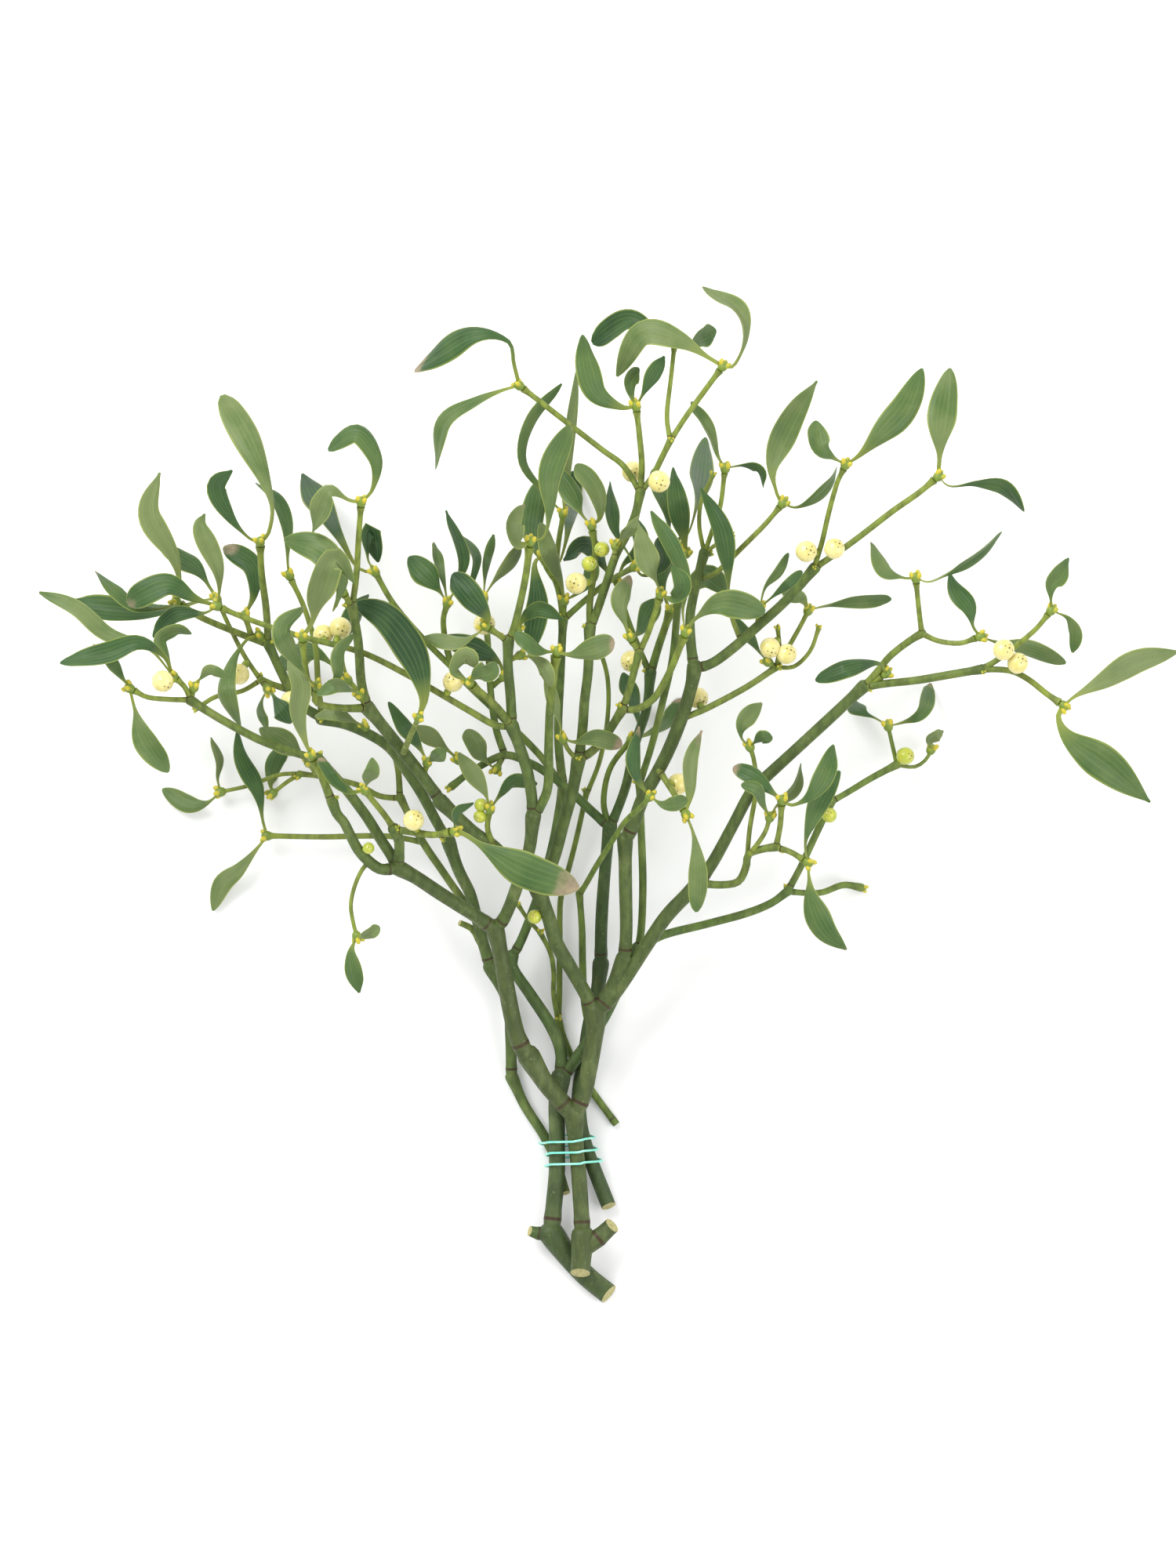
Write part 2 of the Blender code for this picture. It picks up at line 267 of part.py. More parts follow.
# Leaves, two at most twig tips: shoot: (name, leaves), and each leaf is its width, its roll about its own
# midrib in degrees, and its path from the bud as X, Y and height above the bud.
LEAVES = {
    # left side, front
    "l1a2": ("left_1", [(8, 25, [(-103, 157, 3), (-106, 168, 7), (-105, 179, 8), (-109.5, 188, 4)])]),
    "l1b3": ("left_2", [(9, 10, [(-168, 170, 1), (-164, 158, 2), (-155, 145.5, -2)]),
                        (7, 50, [(-172, 181, 2), (-176, 188, 4), (-183.5, 194, 5)])]),
    "l1b4": ("left_3", [(8, 15, [(-157, 190, 6), (-166, 194.5, 10), (-178, 190.5, 6), (-196, 187, 2)]),
                        (7, 30, [(-163, 193, 2), (-178, 198, -2), (-190, 208, -4), (-204.5, 214, -8)]),
                        (6.5, 40, [(-155.5, 190, -3), (-158, 196, -4), (-152, 199.5, -5),
                        (-146.5, 198, -8)])]),
    "l1cr": ("front_large", [(13, 8, [(-42, 121.5, 4), (-32, 115, 9), (-18, 107.5, 12), (1, 101.5, 8)]),
                             (5, 40, [(-46, 127, 4), (-44, 131, 8), (-39, 134, 10)])]),
    "l1cl": ("left_4", [(6, 20, [(-79, 143, 3), (-77.5, 147, 5), (-77.5, 151, 6)]),
                        (7, 55, [(-86, 138, 2), (-92, 142, 2), (-97.5, 151, -6)])]),
    "h2": ("left_hanging", [(6.5, 10, [(-86, 77, 0), (-85, 70, 0), (-83, 61, -4)]),
                            (5, 30, [(-81, 83, 3), (-75, 86.5, 2)])]),
    "l2a1u": ("middle_1", [(9, 40, [(-22, 232, 5), (-24.5, 240, 9), (-19.5, 247, 5)]),
                           (9.5, 15, [(-12, 235, 3), (-10, 245, 8), (-9.5, 260, 12), (-2, 277, 6)])]),
    "l2a1l": ("middle_2", [(9.5, 10, [(-34, 204.5, 3), (-40, 212, 6), (-47, 221, 2)]),
                           (7, 35, [(-38, 198, -2), (-46, 195, -6), (-58, 197, -12)])]),
    "l2a2": ("middle_3", [(7, 30, [(-46, 184, 3), (-42, 189.5, 6), (-38, 185, 4)]),
                          (8, 15, [(-37, 183, 5), (-33, 184, 8), (-31, 187.5, 9)])]),
    "l2b": ("middle_4", [(9, 15, [(-2, 190.3, 3), (6, 192, 5), (14.5, 195.5, 2)]),
                         (7, 35, [(-13, 191.5, 3), (-18, 194.5, 4), (-23.5, 198.5, 1)])]),
    "n3": ("left_5", [(10, 20, [(-146, 212, 2), (-155, 217, 4), (-165, 213.5, 2), (-171, 209.5, -3)]),
                      (8, 25, [(-136, 215, 3), (-137, 224, 6), (-143, 238, 6), (-141.5, 244, 2)]),
                      (6.5, 20, [(-142, 206, 1), (-153, 205, 2), (-161.5, 197, -2)])]),
    # right side, front
    "r1r2": ("right_1", [(9, 15, [(190, 174.5, 2), (200, 180, 4), (213, 187.5, 2), (229.5, 191.5, -6)]),
                         (13, 5, [(183.5, 166, 2), (188, 158, 4), (202, 148, 0), (219, 134, -12)])]),
    "r1r3": ("right_2", [(7, 20, [(180.5, 211, 3), (180.5, 217, 5), (184, 221, 3), (187.5, 227, 0)]),
                         (6, 35, [(187, 204, 1), (190, 198, -2), (189, 191, -7)])]),
    "r1v": ("right_3", [(7, 20, [(115, 187, 6), (104, 185.5, 9), (91, 180.5, 3)])]),
    "r1u1": ("right_4", [(7, 30, [(124, 219.6, 2), (117, 223, 4), (112, 233, 2)]),
                         (7, 60, [(135, 218, 2), (145, 223, 3), (154, 229, 4), (162, 237, 0)])]),
    "r1u2": ("right_5", [(7.5, 20, [(151, 201, 3), (149.5, 208, 5), (145, 214, 4), (142, 222, 0)]),
                         (7, 25, [(162, 194.5, -6), (173, 192.5, -10), (187, 187, -16)])]),
    "r6u": ("right_6", [(7, 15, [(74, 138.5, 3), (68, 144, 4), (60, 147.5, 0)]),
                        (8, 15, [(83, 133, 2), (90, 137, 4), (95.5, 146, 3), (98.5, 156, -3)])]),
    "r6r": ("right_7", [(8.5, 15, [(87.5, 117, 4), (89, 125, 8), (94, 137, 7), (101, 146, 0)]),
                        (9.5, 10, [(89, 105, 2), (90, 96, 3), (95, 85, 0), (103.5, 77.5, -6)])]),
    "r6l": ("right_8", [(7, 20, [(63, 159, 3), (64, 165, 5), (71, 172, 2)]),
                        (6, 35, [(70, 158, 1), (75, 158.5, -1)])]),
    "r2n": ("right_9", [(7, 10, [(45, 121, 3), (46.5, 108, 4), (46, 92, -2)]),
                        (6.5, 30, [(43.5, 138, 3), (43.5, 150, 4), (48, 161.5, 0)])]),
    "k1a": ("top_right_1", [(10.5, 10, [(138, 266, 4), (138.5, 278, 6), (142, 299, 0)]),
                            (8, 50, [(142, 254, 2), (152, 255, 5), (162, 254, 2), (170, 244.5, -6)])]),
    "k1b": ("top_right_2", [(10.5, 10, [(108, 266, 2), (116, 274, 4), (125, 284, 2), (131.5, 299, -6)]),
                            (8, 20, [(97, 265, 3), (92, 269, 5), (91, 279, 0)])]),
    "k2a": ("top_right_3", [(10, 15, [(76.5, 252, 2), (75, 263, 4), (82, 280, 1), (92, 295, -8)]),
                            (7, 55, [(84, 246.5, 2), (91, 250, 4), (97, 256, 3), (99.5, 262, -1)])]),
    "k2b": ("top_1", [(6, 60, [(64, 262.5, 2), (70, 260.5, 2), (71.5, 254, -4)]),
                      (6, 50, [(54, 266, 3), (51, 274, 5), (44, 287, 0)])]),
    "k3b": ("right_10", [(6.5, 40, [(95, 209, 2), (106, 211, 3), (120.5, 211.5, -3)]),
                         (6.5, 20, [(86, 212, 3), (82, 213, 2), (80, 219, -4)])]),
    "p1a1": ("top_2", [(9, 15, [(17, 284, 3), (8, 289, 7), (4.5, 299, 8), (2.5, 311.5, 4)]),
                       (7, 35, [(26, 290, 3), (30, 297, 4), (33.5, 303.5, 0)]),
                       (6.5, 30, [(21, 288, 0), (20, 294, 0), (24, 299, -3)])]),
    "p1a2r": ("top_3", [(8, 55, [(60, 300, 2), (64, 310, 5), (61, 321, 3), (48, 330, -5)]),
                        (10, 20, [(50, 303, 3), (39, 309.5, 6), (25, 312, 5), (15.5, 296, -6)])]),
    "p1a2l": ("top_4", [(9, 20, [(31, 311, 2), (20, 317, 2), (6, 309, -6)]),
                        (8, 30, [(43, 307, 0), (47, 311, -2), (53.5, 314, -8)])]),
    "p1a3": ("top_left", [(10, 30, [(-23.5, 300, 4), (-26, 309, 8), (-40, 311, 8), (-61.5, 298, -8)]),
                          (8, 45, [(-29, 290, 1), (-38, 286, 1), (-50, 278, -3), (-53.5, 260.5, -12)])]),
    "p1b": ("middle_5", [(8, 30, [(9, 243, 3), (7.5, 252, 5), (0, 263, 2)]),
                         (8, 20, [(2, 244, 1), (-2, 252, -2), (-8, 262, -8)])]),
    "p2a": ("middle_right_1", [(10, 10, [(46, 204.5, 4), (56, 210, 7), (72, 206.5, 2)]),
                               (7, 25, [(40.5, 207, 4), (41, 219, 7), (36, 231, 8), (28.5, 245, 4)])]),
    "p2b1": ("middle_right_2", [(9, 15, [(30.5, 218, 4), (27, 227, 7), (23.5, 240.5, 3)]),
                                (7, 20, [(37, 211.5, 2), (40, 217, 3), (36.5, 224, 2)])]),
    "p2b2": ("middle_right_3", [(8, 25, [(19, 201, 2), (17, 210, 4), (20.5, 220.5, 2)]),
                                (8, 20, [(24, 199, -5), (27, 205, -9), (31, 212, -14)])]),
    "m1c1": ("left_6", [(8, 25, [(-77, 253, 3), (-75.5, 264, 7), (-83, 274, 8), (-94, 267.5, 2)]),
                        (9, 20, [(-86, 248.5, 2), (-93, 252, 4), (-96, 247, 2), (-100, 236.5, -6)])]),
    "m1c2": ("left_7", [(11, 20, [(-92, 207, 3), (-89, 218, 6), (-97, 230, 5), (-111, 234, -4)])]),
    "m1d": ("left_8", [(7, 50, [(-95, 178, 3), (-90.5, 182, 6), (-90, 191, 8), (-84.5, 198, 6)]),
                       (8, 30, [(-101.5, 181, 3), (-107, 190, 4), (-111, 200, 2), (-103, 208, -2)])]),
    "m1e": ("left_9", [(10.5, 20, [(-100, 203, 4), (-98, 213, 8), (-91.5, 227, 10), (-84, 217, 8)])]),
    # left side, behind
    "m2a": ("left_10", [(9, 25, [(-151, 215, 2), (-153.5, 227, 5), (-163, 244, 5), (-159, 260, -2)]),
                        (7, 40, [(-158, 208, 2), (-168, 208.5, 2), (-176, 215, 0), (-184, 222.5, -6)])]),
    "m2b": ("left_11", [(10.5, 15, [(-117, 237, 3), (-116, 249, 6), (-124, 270, 4), (-135, 289.5, -8)]),
                        (8, 30, [(-125, 235, 2), (-132, 243, 4), (-137, 254, 5), (-131, 260.5, 2)])]),
    "m2cu": ("left_12", [(10, 20, [(-143, 211, -1), (-158, 207, -4), (-175, 207, -10), (-196, 210, -18)]),
                         (8, 30, [(-140, 216, -2), (-146, 224, -5), (-160, 232.5, -14)])]),
    "m2d": ("left_13", [(7, 40, [(-110.5, 226, 2), (-111, 240, 3), (-115, 250, 2), (-123, 256.5, -5)])]),
    "gl1": ("left_low_1", [(7, 25, [(-118, 142, 0), (-116, 150, -2), (-111, 157, -4)])]),
    "gl2": ("left_low_2", [(7, 15, [(-143, 133.5, 0), (-150, 133.5, -1), (-160, 139, -4)]),
                           (6, 60, [(-138.5, 143, 1), (-138, 150, 1), (-141, 159, -2)])]),
    "gu": ("left_low_3", [(9, 15, [(-93, 186, 1), (-103, 192, 1), (-116, 186, -20)]),
                          (8, 25, [(-90, 190, 0), (-88, 202, -2), (-80, 214, -20)])]),
    "h1": ("left_low_4", [(7, 20, [(-122.5, 117, 0), (-130, 108, -2), (-137, 102, -4), (-140.5, 92, -7)]),
                          (7, 25, [(-121, 127, 1), (-123, 139, 2), (-129, 151, 1), (-131, 162, -4)])]),
    # middle and right, behind
    "f3a": ("back_1", [(9.5, 15, [(-53, 216, 2), (-58, 222, 2), (-64.5, 228, -4)]),
                       (7, 50, [(-46, 217, 2), (-44, 228, 3), (-50, 246, -6)]),
                       (4.5, 30, [(-50.5, 217, 0), (-53, 225, -2), (-54.7, 234, -8)])]),
    "f3b": ("back_2", [(8, 30, [(-80, 228, 1), (-79, 238, 1), (-76, 226, -4)]),
                       (10, 15, [(-84, 224, 1), (-92, 238, 0), (-106, 261, -50)])]),
    "f4a": ("back_3", [(9, 20, [(-13, 226, 1), (-17, 238, 2), (-14, 258, -6)]),
                       (8, 20, [(-6, 227, 1), (-3, 240, 1), (-1, 262, -50)])]),
    "f4b": ("back_4", [(7, 40, [(20, 229, 1), (14, 240, 1), (13, 257, -8)]),
                       (7, 40, [(26, 221, 0), (33, 226, -2), (32, 236, -8)])]),
    "v4b": ("back_5", [(9, 15, [(43, 237, 1), (46, 248, 1), (50, 275, -60)]),
                       (8, 25, [(36, 237, 1), (34, 248, 1), (30, 262, -10)])]),
    "r5v1": ("right_low_1", [(6.5, 25, [(116, 166, 1), (110, 169, 1), (105.5, 173, -14)]),
                             (6.5, 20, [(126, 165, 1), (133, 169, 2), (137, 180, -14)])]),
    "r5v2": ("right_low_2", [(5, 30, [(136.5, 158, 1), (141.5, 161.5, -4)])]),
    "q2": ("back_6", [(9, 20, [(41, 214, 0), (50, 221, -4), (58, 214, -12)]),
                      (8, 20, [(34, 213, 0), (33, 224, -3), (40, 236, -10)])]),
    "q3": ("back_7", [(8, 25, [(13, 221, 0), (4, 232, -3), (-5, 227, -12)]),
                      (7, 25, [(18, 225, 0), (24, 232, -3), (23, 243, -12)])]),
    "n1u": ("back_8", [(7, 60, [(-40, 217, 1), (-39, 228, 1), (-46, 238, -8)]),
                       (7, 45, [(-32, 218, 1), (-26, 225, 0), (-21, 232, -6)]),
                       (4, 30, [(-35, 220, 0), (-34, 227, -1), (-31.8, 237, -6)])]),
    "v2t": ("front_bright", [(6, 30, [(24, 142, 2), (22, 150, 3), (24, 163, 0)]),
                             (6, 20, [(34, 133, 1), (42.5, 135, -4)])]),
    "t1": ("back_9", [(7, 25, [(24, 163, 0), (22, 172, -2), (18, 184, -10)]),
                      (6, 30, [(27, 160, 0), (35, 165, -2), (41, 174, -8)])]),
    # single leaves and pairs on short spurs
    "m1f": ("spur_1", [(12, 10, [(-58, 175, 4), (-62, 190, 7), (-72, 204, 7), (-84, 210, 3)])]),
    "m1g": ("spur_2", [(6.5, 30, [(-60, 155, 2), (-66, 163, 4), (-72, 172.5, 2)]),
                       (6, 20, [(-54, 151, 2), (-49.5, 154, 1)])]),
    "m1h": ("spur_3", [(5.5, 20, [(-86, 177, 2), (-91, 178.5, 3), (-98.5, 175, 1)])]),
    "l2a3": ("spur_4", [(6.5, 25, [(-19, 205, 2), (-13.5, 208, 3), (-5, 203.5, 0)])]),
    "l2a4": ("spur_5", [(6, 30, [(-17, 189, 1), (-12.5, 185, 1), (-9.5, 178, -3)])]),
    "l1b5": ("spur_6", [(4.5, 20, [(-143, 181, 1), (-139, 184, 2), (-131.5, 181.5, 0)])]),
    "p1c": ("spur_7", [(5.5, 40, [(17.5, 234.5, 2), (20.5, 237.5, 3), (24, 243, 1)])]),
    "k1c": ("spur_8", [(4, 30, [(72, 216, 2), (77, 222, 3), (81, 229, 1)]),
                       (4, 20, [(75, 212.5, 1), (80.5, 217, 1), (86, 222, -2)])]),
    "k1d": ("spur_9", [(8, 20, [(57.5, 222, 1), (55, 238, 1), (47.5, 254, -3)])]),
    "k3d": ("spur_10", [(5, 30, [(69.5, 192, 1), (65, 198, 2), (60.5, 205, 0)])]),
    "r6d": ("spur_11", [(6, 40, [(77, 133, 2), (84, 140, 3), (86, 149, 1)]),
                        (5, 20, [(71.5, 133, 1), (69, 139, 1), (63, 141, -2)])]),
    "m1i": ("spur_12", [(7, 20, [(-35, 138, 2), (-40, 145, 3), (-45, 153, 0)]),
                        (6, 30, [(-29, 137, 2), (-24, 142, 2), (-15, 141, -3)])]),
    "p3": ("spur_21", [(5.5, 30, [(-6.5, 165, 3), (-9, 173, 5), (-11.5, 184, 3)]),
                       (7, 20, [(0, 157, 2), (8, 159, 4), (17.5, 155.5, 1)])]),
    "f4c": ("spur_13", [(9, 15, [(-16, 225, 2), (-15, 210, 3), (-18, 190, 0)])]),
    "f4d": ("spur_14", [(5, 30, [(-4, 253, 3), (-2.5, 275, 6), (0.5, 301, 3)]),
                        (5.5, 40, [(-10, 250, 2), (-20, 264, 5), (-17, 280, 6), (-5.5, 294, 3)])]),
    "f4e": ("spur_15", [(7.5, 30, [(-6, 219, 1), (-9.5, 228, 2), (-13.5, 241, -2)]),
                        (6, 20, [(0, 214, 1), (5, 220, 1), (6, 229, -4)])]),
    "v4c": ("spur_16", [(8, 20, [(41, 236, 1), (38.5, 247, 1), (37, 262, -3)])]),
    "n1v": ("spur_17", [(8.5, 15, [(-30, 188, 1), (-39, 193, 1), (-53, 197, -2)])]),
    "n1w": ("spur_18", [(8, 25, [(-34, 149, 1), (-38.5, 155, 1), (-42, 162, -2)])]),
    "m2f": ("spur_22", [(8, 20, [(-123, 214, 1), (-124, 225, 1), (-135, 231.5, -2)])]),
    "gl3": ("spur_23", [(9, 15, [(-107, 153, 4), (-114, 158, 6), (-122, 162.5, 4)])]),
    "m2g": ("spur_24", [(5, 20, [(-85, 165, 2), (-92, 167.5, 3), (-100, 167, 1)])]),
    "n1x": ("spur_25", [(7, 15, [(-50, 154.5, 1), (-57, 159.5, 1), (-64.5, 163, -2)])]),
    "m2e": ("spur_19", [(8, 25, [(-126, 196, 1), (-131.5, 187, 1), (-133.5, 176, 0), (-128, 163, -4)])]),
    "m2ce": ("spur_20", [(8, 20, [(-116, 175, 1), (-113, 170, 1), (-109, 164, -1)]),
                         (4.5, 40, [(-120.5, 173, 0), (-121, 168, 0), (-118.5, 161, -3)])]),
}

# Leaf pairs that grow into their stem's own body here, so that the bunch keeps to its count of bodies.
GROWN_ON = {
    "left_4", "left_hanging", "right_8", "right_10", "front_bright",
    "left_low_1", "left_low_2", "left_low_3", "left_low_4", "right_low_1", "right_low_2",
    "back_1", "back_2", "back_3", "back_4", "back_5", "back_6", "back_7", "back_8", "back_9",
    "spur_1", "spur_2", "spur_3", "spur_4", "spur_5", "spur_6", "spur_7", "spur_8", "spur_9", "spur_10",
    "spur_11", "spur_12", "spur_13", "spur_14", "spur_15", "spur_16", "spur_17", "spur_18", "spur_19",
    "spur_20", "spur_21", "spur_22", "spur_23", "spur_24", "spur_25",
}

# Ripe berries: each is X, Y, height and radius; the ones that touch are one body.
BERRIES = {
    "berry_left_1": [(-157, 180, 107, 4.2)],
    "berry_left_2": [(-129, 183, 63, 4.1)],
    "berries_left_3": [(-90, 200.5, 78, 4.3), (-96.5, 198, 76, 4.0)],
    "berry_left_4": [(-109, 172.5, 61, 4.2)],
    "berry_left_5": [(-62, 127.2, 83, 4.1)],
    "berry_middle_1": [(-47, 180, 84, 4.0)],
    "berry_middle_2": [(-35, 202, 84, 4.2)],
    "berry_middle_3": [(0, 217.5, 85, 4.2)],
    "berry_top_1": [(21.5, 260, 86, 4.2)],
    "berry_top_2": [(31.5, 256, 100.5, 4.3)],
    "berry_right_1": [(87.5, 229.5, 96.5, 4.2)],
    "berry_right_2": [(98.2, 230.5, 98.5, 4.0)],
    "berries_right_3": [(74, 193, 76.5, 4.0), (80.3, 190.6, 75.8, 4.0)],
    "berries_right_4": [(162.6, 192, 96.5, 4.2), (168, 187, 94, 4.1)],
    "berry_middle_4": [(39, 141, 54, 4.2)],
    "berry_middle_5": [(21, 188, 65, 4.2)],
    "berry_middle_6": [(46.5, 174, 56.5, 4.2)],
}


# ---------------------------------------------------------------- paths

def shoot_path(name):
    """The shoot's points in 3-D with their radii: height and radius change evenly along its length."""
    _, flat, heights, radii = SHOOTS[name]
    flat = [Vector((x, y)) for x, y in flat]
    steps = [0.0]
    for a, b in zip(flat, flat[1:]):
        steps.append(steps[-1] + (b - a).length)
    shares = [step / steps[-1] for step in steps]
    return [
        (
            Vector((p.x, p.y, heights[0] + (heights[1] - heights[0]) * share)),
            radii[0] + (radii[1] - radii[0]) * share,
        )
        for p, share in zip(flat, shares)
    ]


def bud_centre(shoot):
    """Where the bud sits at the shoot's tip, a little clear of its end unless the pair grows on it."""
    path = shoot_path(shoot)
    end = path[-1][0]
    along = (end - path[-2][0]).normalized()
    grown = LEAVES[shoot][0] in GROWN_ON
    return end + along * (0.2 * BUD_RADIUS if grown else BUD_RADIUS + TIP_GAP)


def smooth_path(points, count):
    """Evenly spread points on a Catmull-Rom curve through the given ones."""
    ends = [points[0] * 2 - points[1]] + points + [points[-1] * 2 - points[-2]]
    fine = []
    for a, b, c, d in zip(ends, ends[1:], ends[2:], ends[3:]):
        for step in range(12):
            t = step / 12
            fine.append(
                0.5 * (2 * b + (c - a) * t + (2 * a - 5 * b + 4 * c - d) * t**2
                       + (3 * b - a - 3 * c + d) * t**3)
            )
    fine.append(points[-1])
    lengths = np.cumsum([0.0] + [(b - a).length for a, b in zip(fine, fine[1:])])
    wanted = np.linspace(0, lengths[-1], count)
    columns = [np.interp(wanted, lengths, [p[axis] for p in fine]) for axis in range(3)]
    return [Vector(values) for values in zip(*columns)]


def leaf_path(shoot, leaf, lift, count):
    """The leaf's midrib from the bud to the apex, raised by lift at the apex and never under the surface."""
    _, _, via = leaf
    base = bud_centre(shoot)
    points = [base] + [Vector((x, y, base.z + rise)) for x, y, rise in via]
    path = smooth_path(points, count)
    for step, point in enumerate(path):
        point.z += lift * min(1.0, 1.6 * step / (count - 1))
        point.z = max(point.z, FLOOR_GAP)
    return path


def leaf_sides(path, roll):
    """At each point of a leaf, the unit vector across its blade: level, then rolled about the midrib."""
    sides = []
    for before, after in zip([path[0]] + path[:-1], path[1:] + [path[-1]]):
        along = (after - before).normalized()
        across = Vector((0, 0, 1)).cross(along).normalized()
        low = min(1.0, (path[len(sides)].z - FLOOR_GAP) / 4)
        across.rotate(Quaternion(along, math.radians(roll) * low))
        sides.append(across)
    return sides


def leaf_width(share):
    """The blade's width at a share of its length: a narrow foot, widest past the middle, a blunt point."""
    foot = 0.17 + 0.83 * math.sin(min(share / 0.56, 1.0) * math.pi / 2) ** 2
    apex = max(0.02, 1 - max(0.0, (share - 0.56) / 0.45) ** 2.3) ** 0.66
    return foot * apex


# ---------------------------------------------------------------- keeping leaves clear of each other

def stem_samples():
    """Points along every shoot, as rows of X, Y, height and radius."""
    rows = []
    for name in SHOOTS:
        path = shoot_path(name)
        for (a, ra), (b, rb) in zip(path, path[1:]):
            count = max(2, int((b - a).length / 2))
            for step in range(count + 1):
                share = step / count
                rows.append((*(a + (b - a) * share), ra + (rb - ra) * share))
    return rows


def leaf_samples(path, sides, width):
    """Points over a leaf's blade past its foot, with no radius of their own."""
    rows = []
    last = len(path) - 1
    for step in range(int(0.2 * last), last + 1):
        half = 0.5 * width * leaf_width(step / last)
        for across in (-0.9, -0.45, 0, 0.45, 0.9):
            rows.append((*(path[step] + sides[step] * half * across), 0.0))
    return rows


def place_leaves():
    """Each leaf's lift: the smallest that keeps it clear of stems, berries and the leaves placed before."""
    taken = np.array(stem_samples() + [berry for group in BERRIES.values() for berry in group])
    lifts = {}
    for shoot, (name, leaves) in LEAVES.items():
        for number, leaf in enumerate(leaves):
            width, roll, _ = leaf
            best = None
            for lift in LIFTS:
                path = leaf_path(shoot, leaf, lift, 15)
                rows = np.array(leaf_samples(path, leaf_sides(path, roll), width))
                apart = np.linalg.norm(rows[:, None, :3] - taken[None, :, :3], axis=2) - taken[None, :, 3]
                clear = apart.min()
                if best is None or clear > best[0]:
                    best = (clear, lift, rows)
                if clear >= LEAF_CLEARANCE:
                    best = (clear, lift, rows)
                    break
            lifts[name, number] = best[1]
            taken = np.vstack([taken, best[2]])
    return lifts


# ---------------------------------------------------------------- meshes

def make_object(name, mesh, collection, material):
    obj = bpy.data.objects.new(name, mesh)
    collection.objects.link(obj)
    if material:
        mesh.materials.clear()
        mesh.materials.append(material)
    return obj


def tube(name, points, radii, sides, helpers):
    """A round tube through the points, as a mesh object with its caps welded on."""
    curve = bpy.data.curves.new(name, "CURVE")
    curve.dimensions = "3D"
    curve.bevel_depth = MM
    curve.bevel_resolution = (sides - 4) // 2
    curve.use_fill_caps = True
    spline = curve.splines.new("POLY")
    spline.points.add(len(points) - 1)
    for place, point, radius in zip(spline.points, points, radii):
        place.co = (*(point * MM), 1)
        place.radius = radius
    source = bpy.data.objects.new(name + "_path", curve)
    helpers.objects.link(source)
    graph = bpy.context.evaluated_depsgraph_get()
    mesh = bpy.data.meshes.new_from_object(source.evaluated_get(graph))
    bpy.data.objects.remove(source)
    shape = bmesh.new()
    shape.from_mesh(mesh)
    bmesh.ops.remove_doubles(shape, verts=shape.verts, dist=1e-6)
    bmesh.ops.recalc_face_normals(shape, faces=shape.faces)
    shape.to_mesh(mesh)
    shape.free()
    return make_object(name, mesh, helpers, None)


def ball(name, centre, radius, segments, rings, helpers):
    mesh = bpy.data.meshes.new(name)
    shape = bmesh.new()
    bmesh.ops.create_uvsphere(shape, u_segments=segments, v_segments=rings, radius=radius * MM)
    bmesh.ops.translate(shape, verts=shape.verts, vec=centre * MM)
    shape.to_mesh(mesh)
    shape.free()
    return make_object(name, mesh, helpers, None)


def blade(name, path, sides, width, helpers):
    """One leaf as a loft of flat diamond sections, closed by a point at each end."""
    shape = bmesh.new()
    last = len(path) - 1
    rings = []
    for step, (point, across) in enumerate(zip(path, sides)):
        before = path[max(0, step - 1)]
        after = path[min(last, step + 1)]
        normal = (after - before).normalized().cross(across).normalized()
        half = max(0.45, 0.5 * width * leaf_width(step / last))
        thick = 0.5 * LEAF_THICKNESS
        corners = (across * half, normal * thick, across * -half, normal * -thick)
        rings.append([shape.verts.new((point + corner) * MM) for corner in corners])
    for low, high in zip(rings, rings[1:]):
        for corner in range(4):
            following = (corner + 1) % 4
            shape.faces.new((low[corner], low[following], high[following], high[corner]))
    shape.faces.new(rings[0][::-1])
    shape.faces.new(rings[-1])
    bmesh.ops.triangulate(shape, faces=shape.faces)
    bmesh.ops.recalc_face_normals(shape, faces=shape.faces)
    mesh = bpy.data.meshes.new(name)
    shape.to_mesh(mesh)
    shape.free()
    return make_object(name, mesh, helpers, None)


def join_bodies(name, pieces, collection, material):
    """One closed body out of overlapping ones, with its origin at the first one's first corner."""
    body = pieces[0]
    for piece in pieces[1:]:
        union = body.modifiers.new("join", "BOOLEAN")
        union.operation = "UNION"
        union.solver = "MANIFOLD"  # the exact solver drops some of these joints
        union.object = piece
        graph = bpy.context.evaluated_depsgraph_get()
        mesh = bpy.data.meshes.new_from_object(body.evaluated_get(graph))
        body.modifiers.clear()
        body.data = mesh
        bpy.data.objects.remove(piece)
    mesh = body.data.copy()
    mesh.name = name
    bpy.data.objects.remove(body)
    anchor = mesh.vertices[0].co.copy()
    for vertex in mesh.vertices:
        vertex.co -= anchor
    obj = make_object(name, mesh, collection, material)
    obj.location = anchor
    mesh.shade_smooth()
    mesh.set_sharp_from_angle(angle=math.radians(50))
    return obj


def principled(name, colour, roughness):
    material = bpy.data.materials.new(name)
    material.use_nodes = True
    shader = material.node_tree.nodes["Principled BSDF"]
    shader.inputs["Base Color"].default_value = (*colour, 1)
    shader.inputs["Roughness"].default_value = roughness
    shader.inputs["Metallic"].default_value = 0
    return material


# ---------------------------------------------------------------- pieces

def shoot_tube(name, helpers):
    path = shoot_path(name)
    sides = 6 if max(SHOOTS[name][3]) > 2.3 else 4
    return tube(name, [p for p, _ in path], [r for _, r in path], sides, helpers)


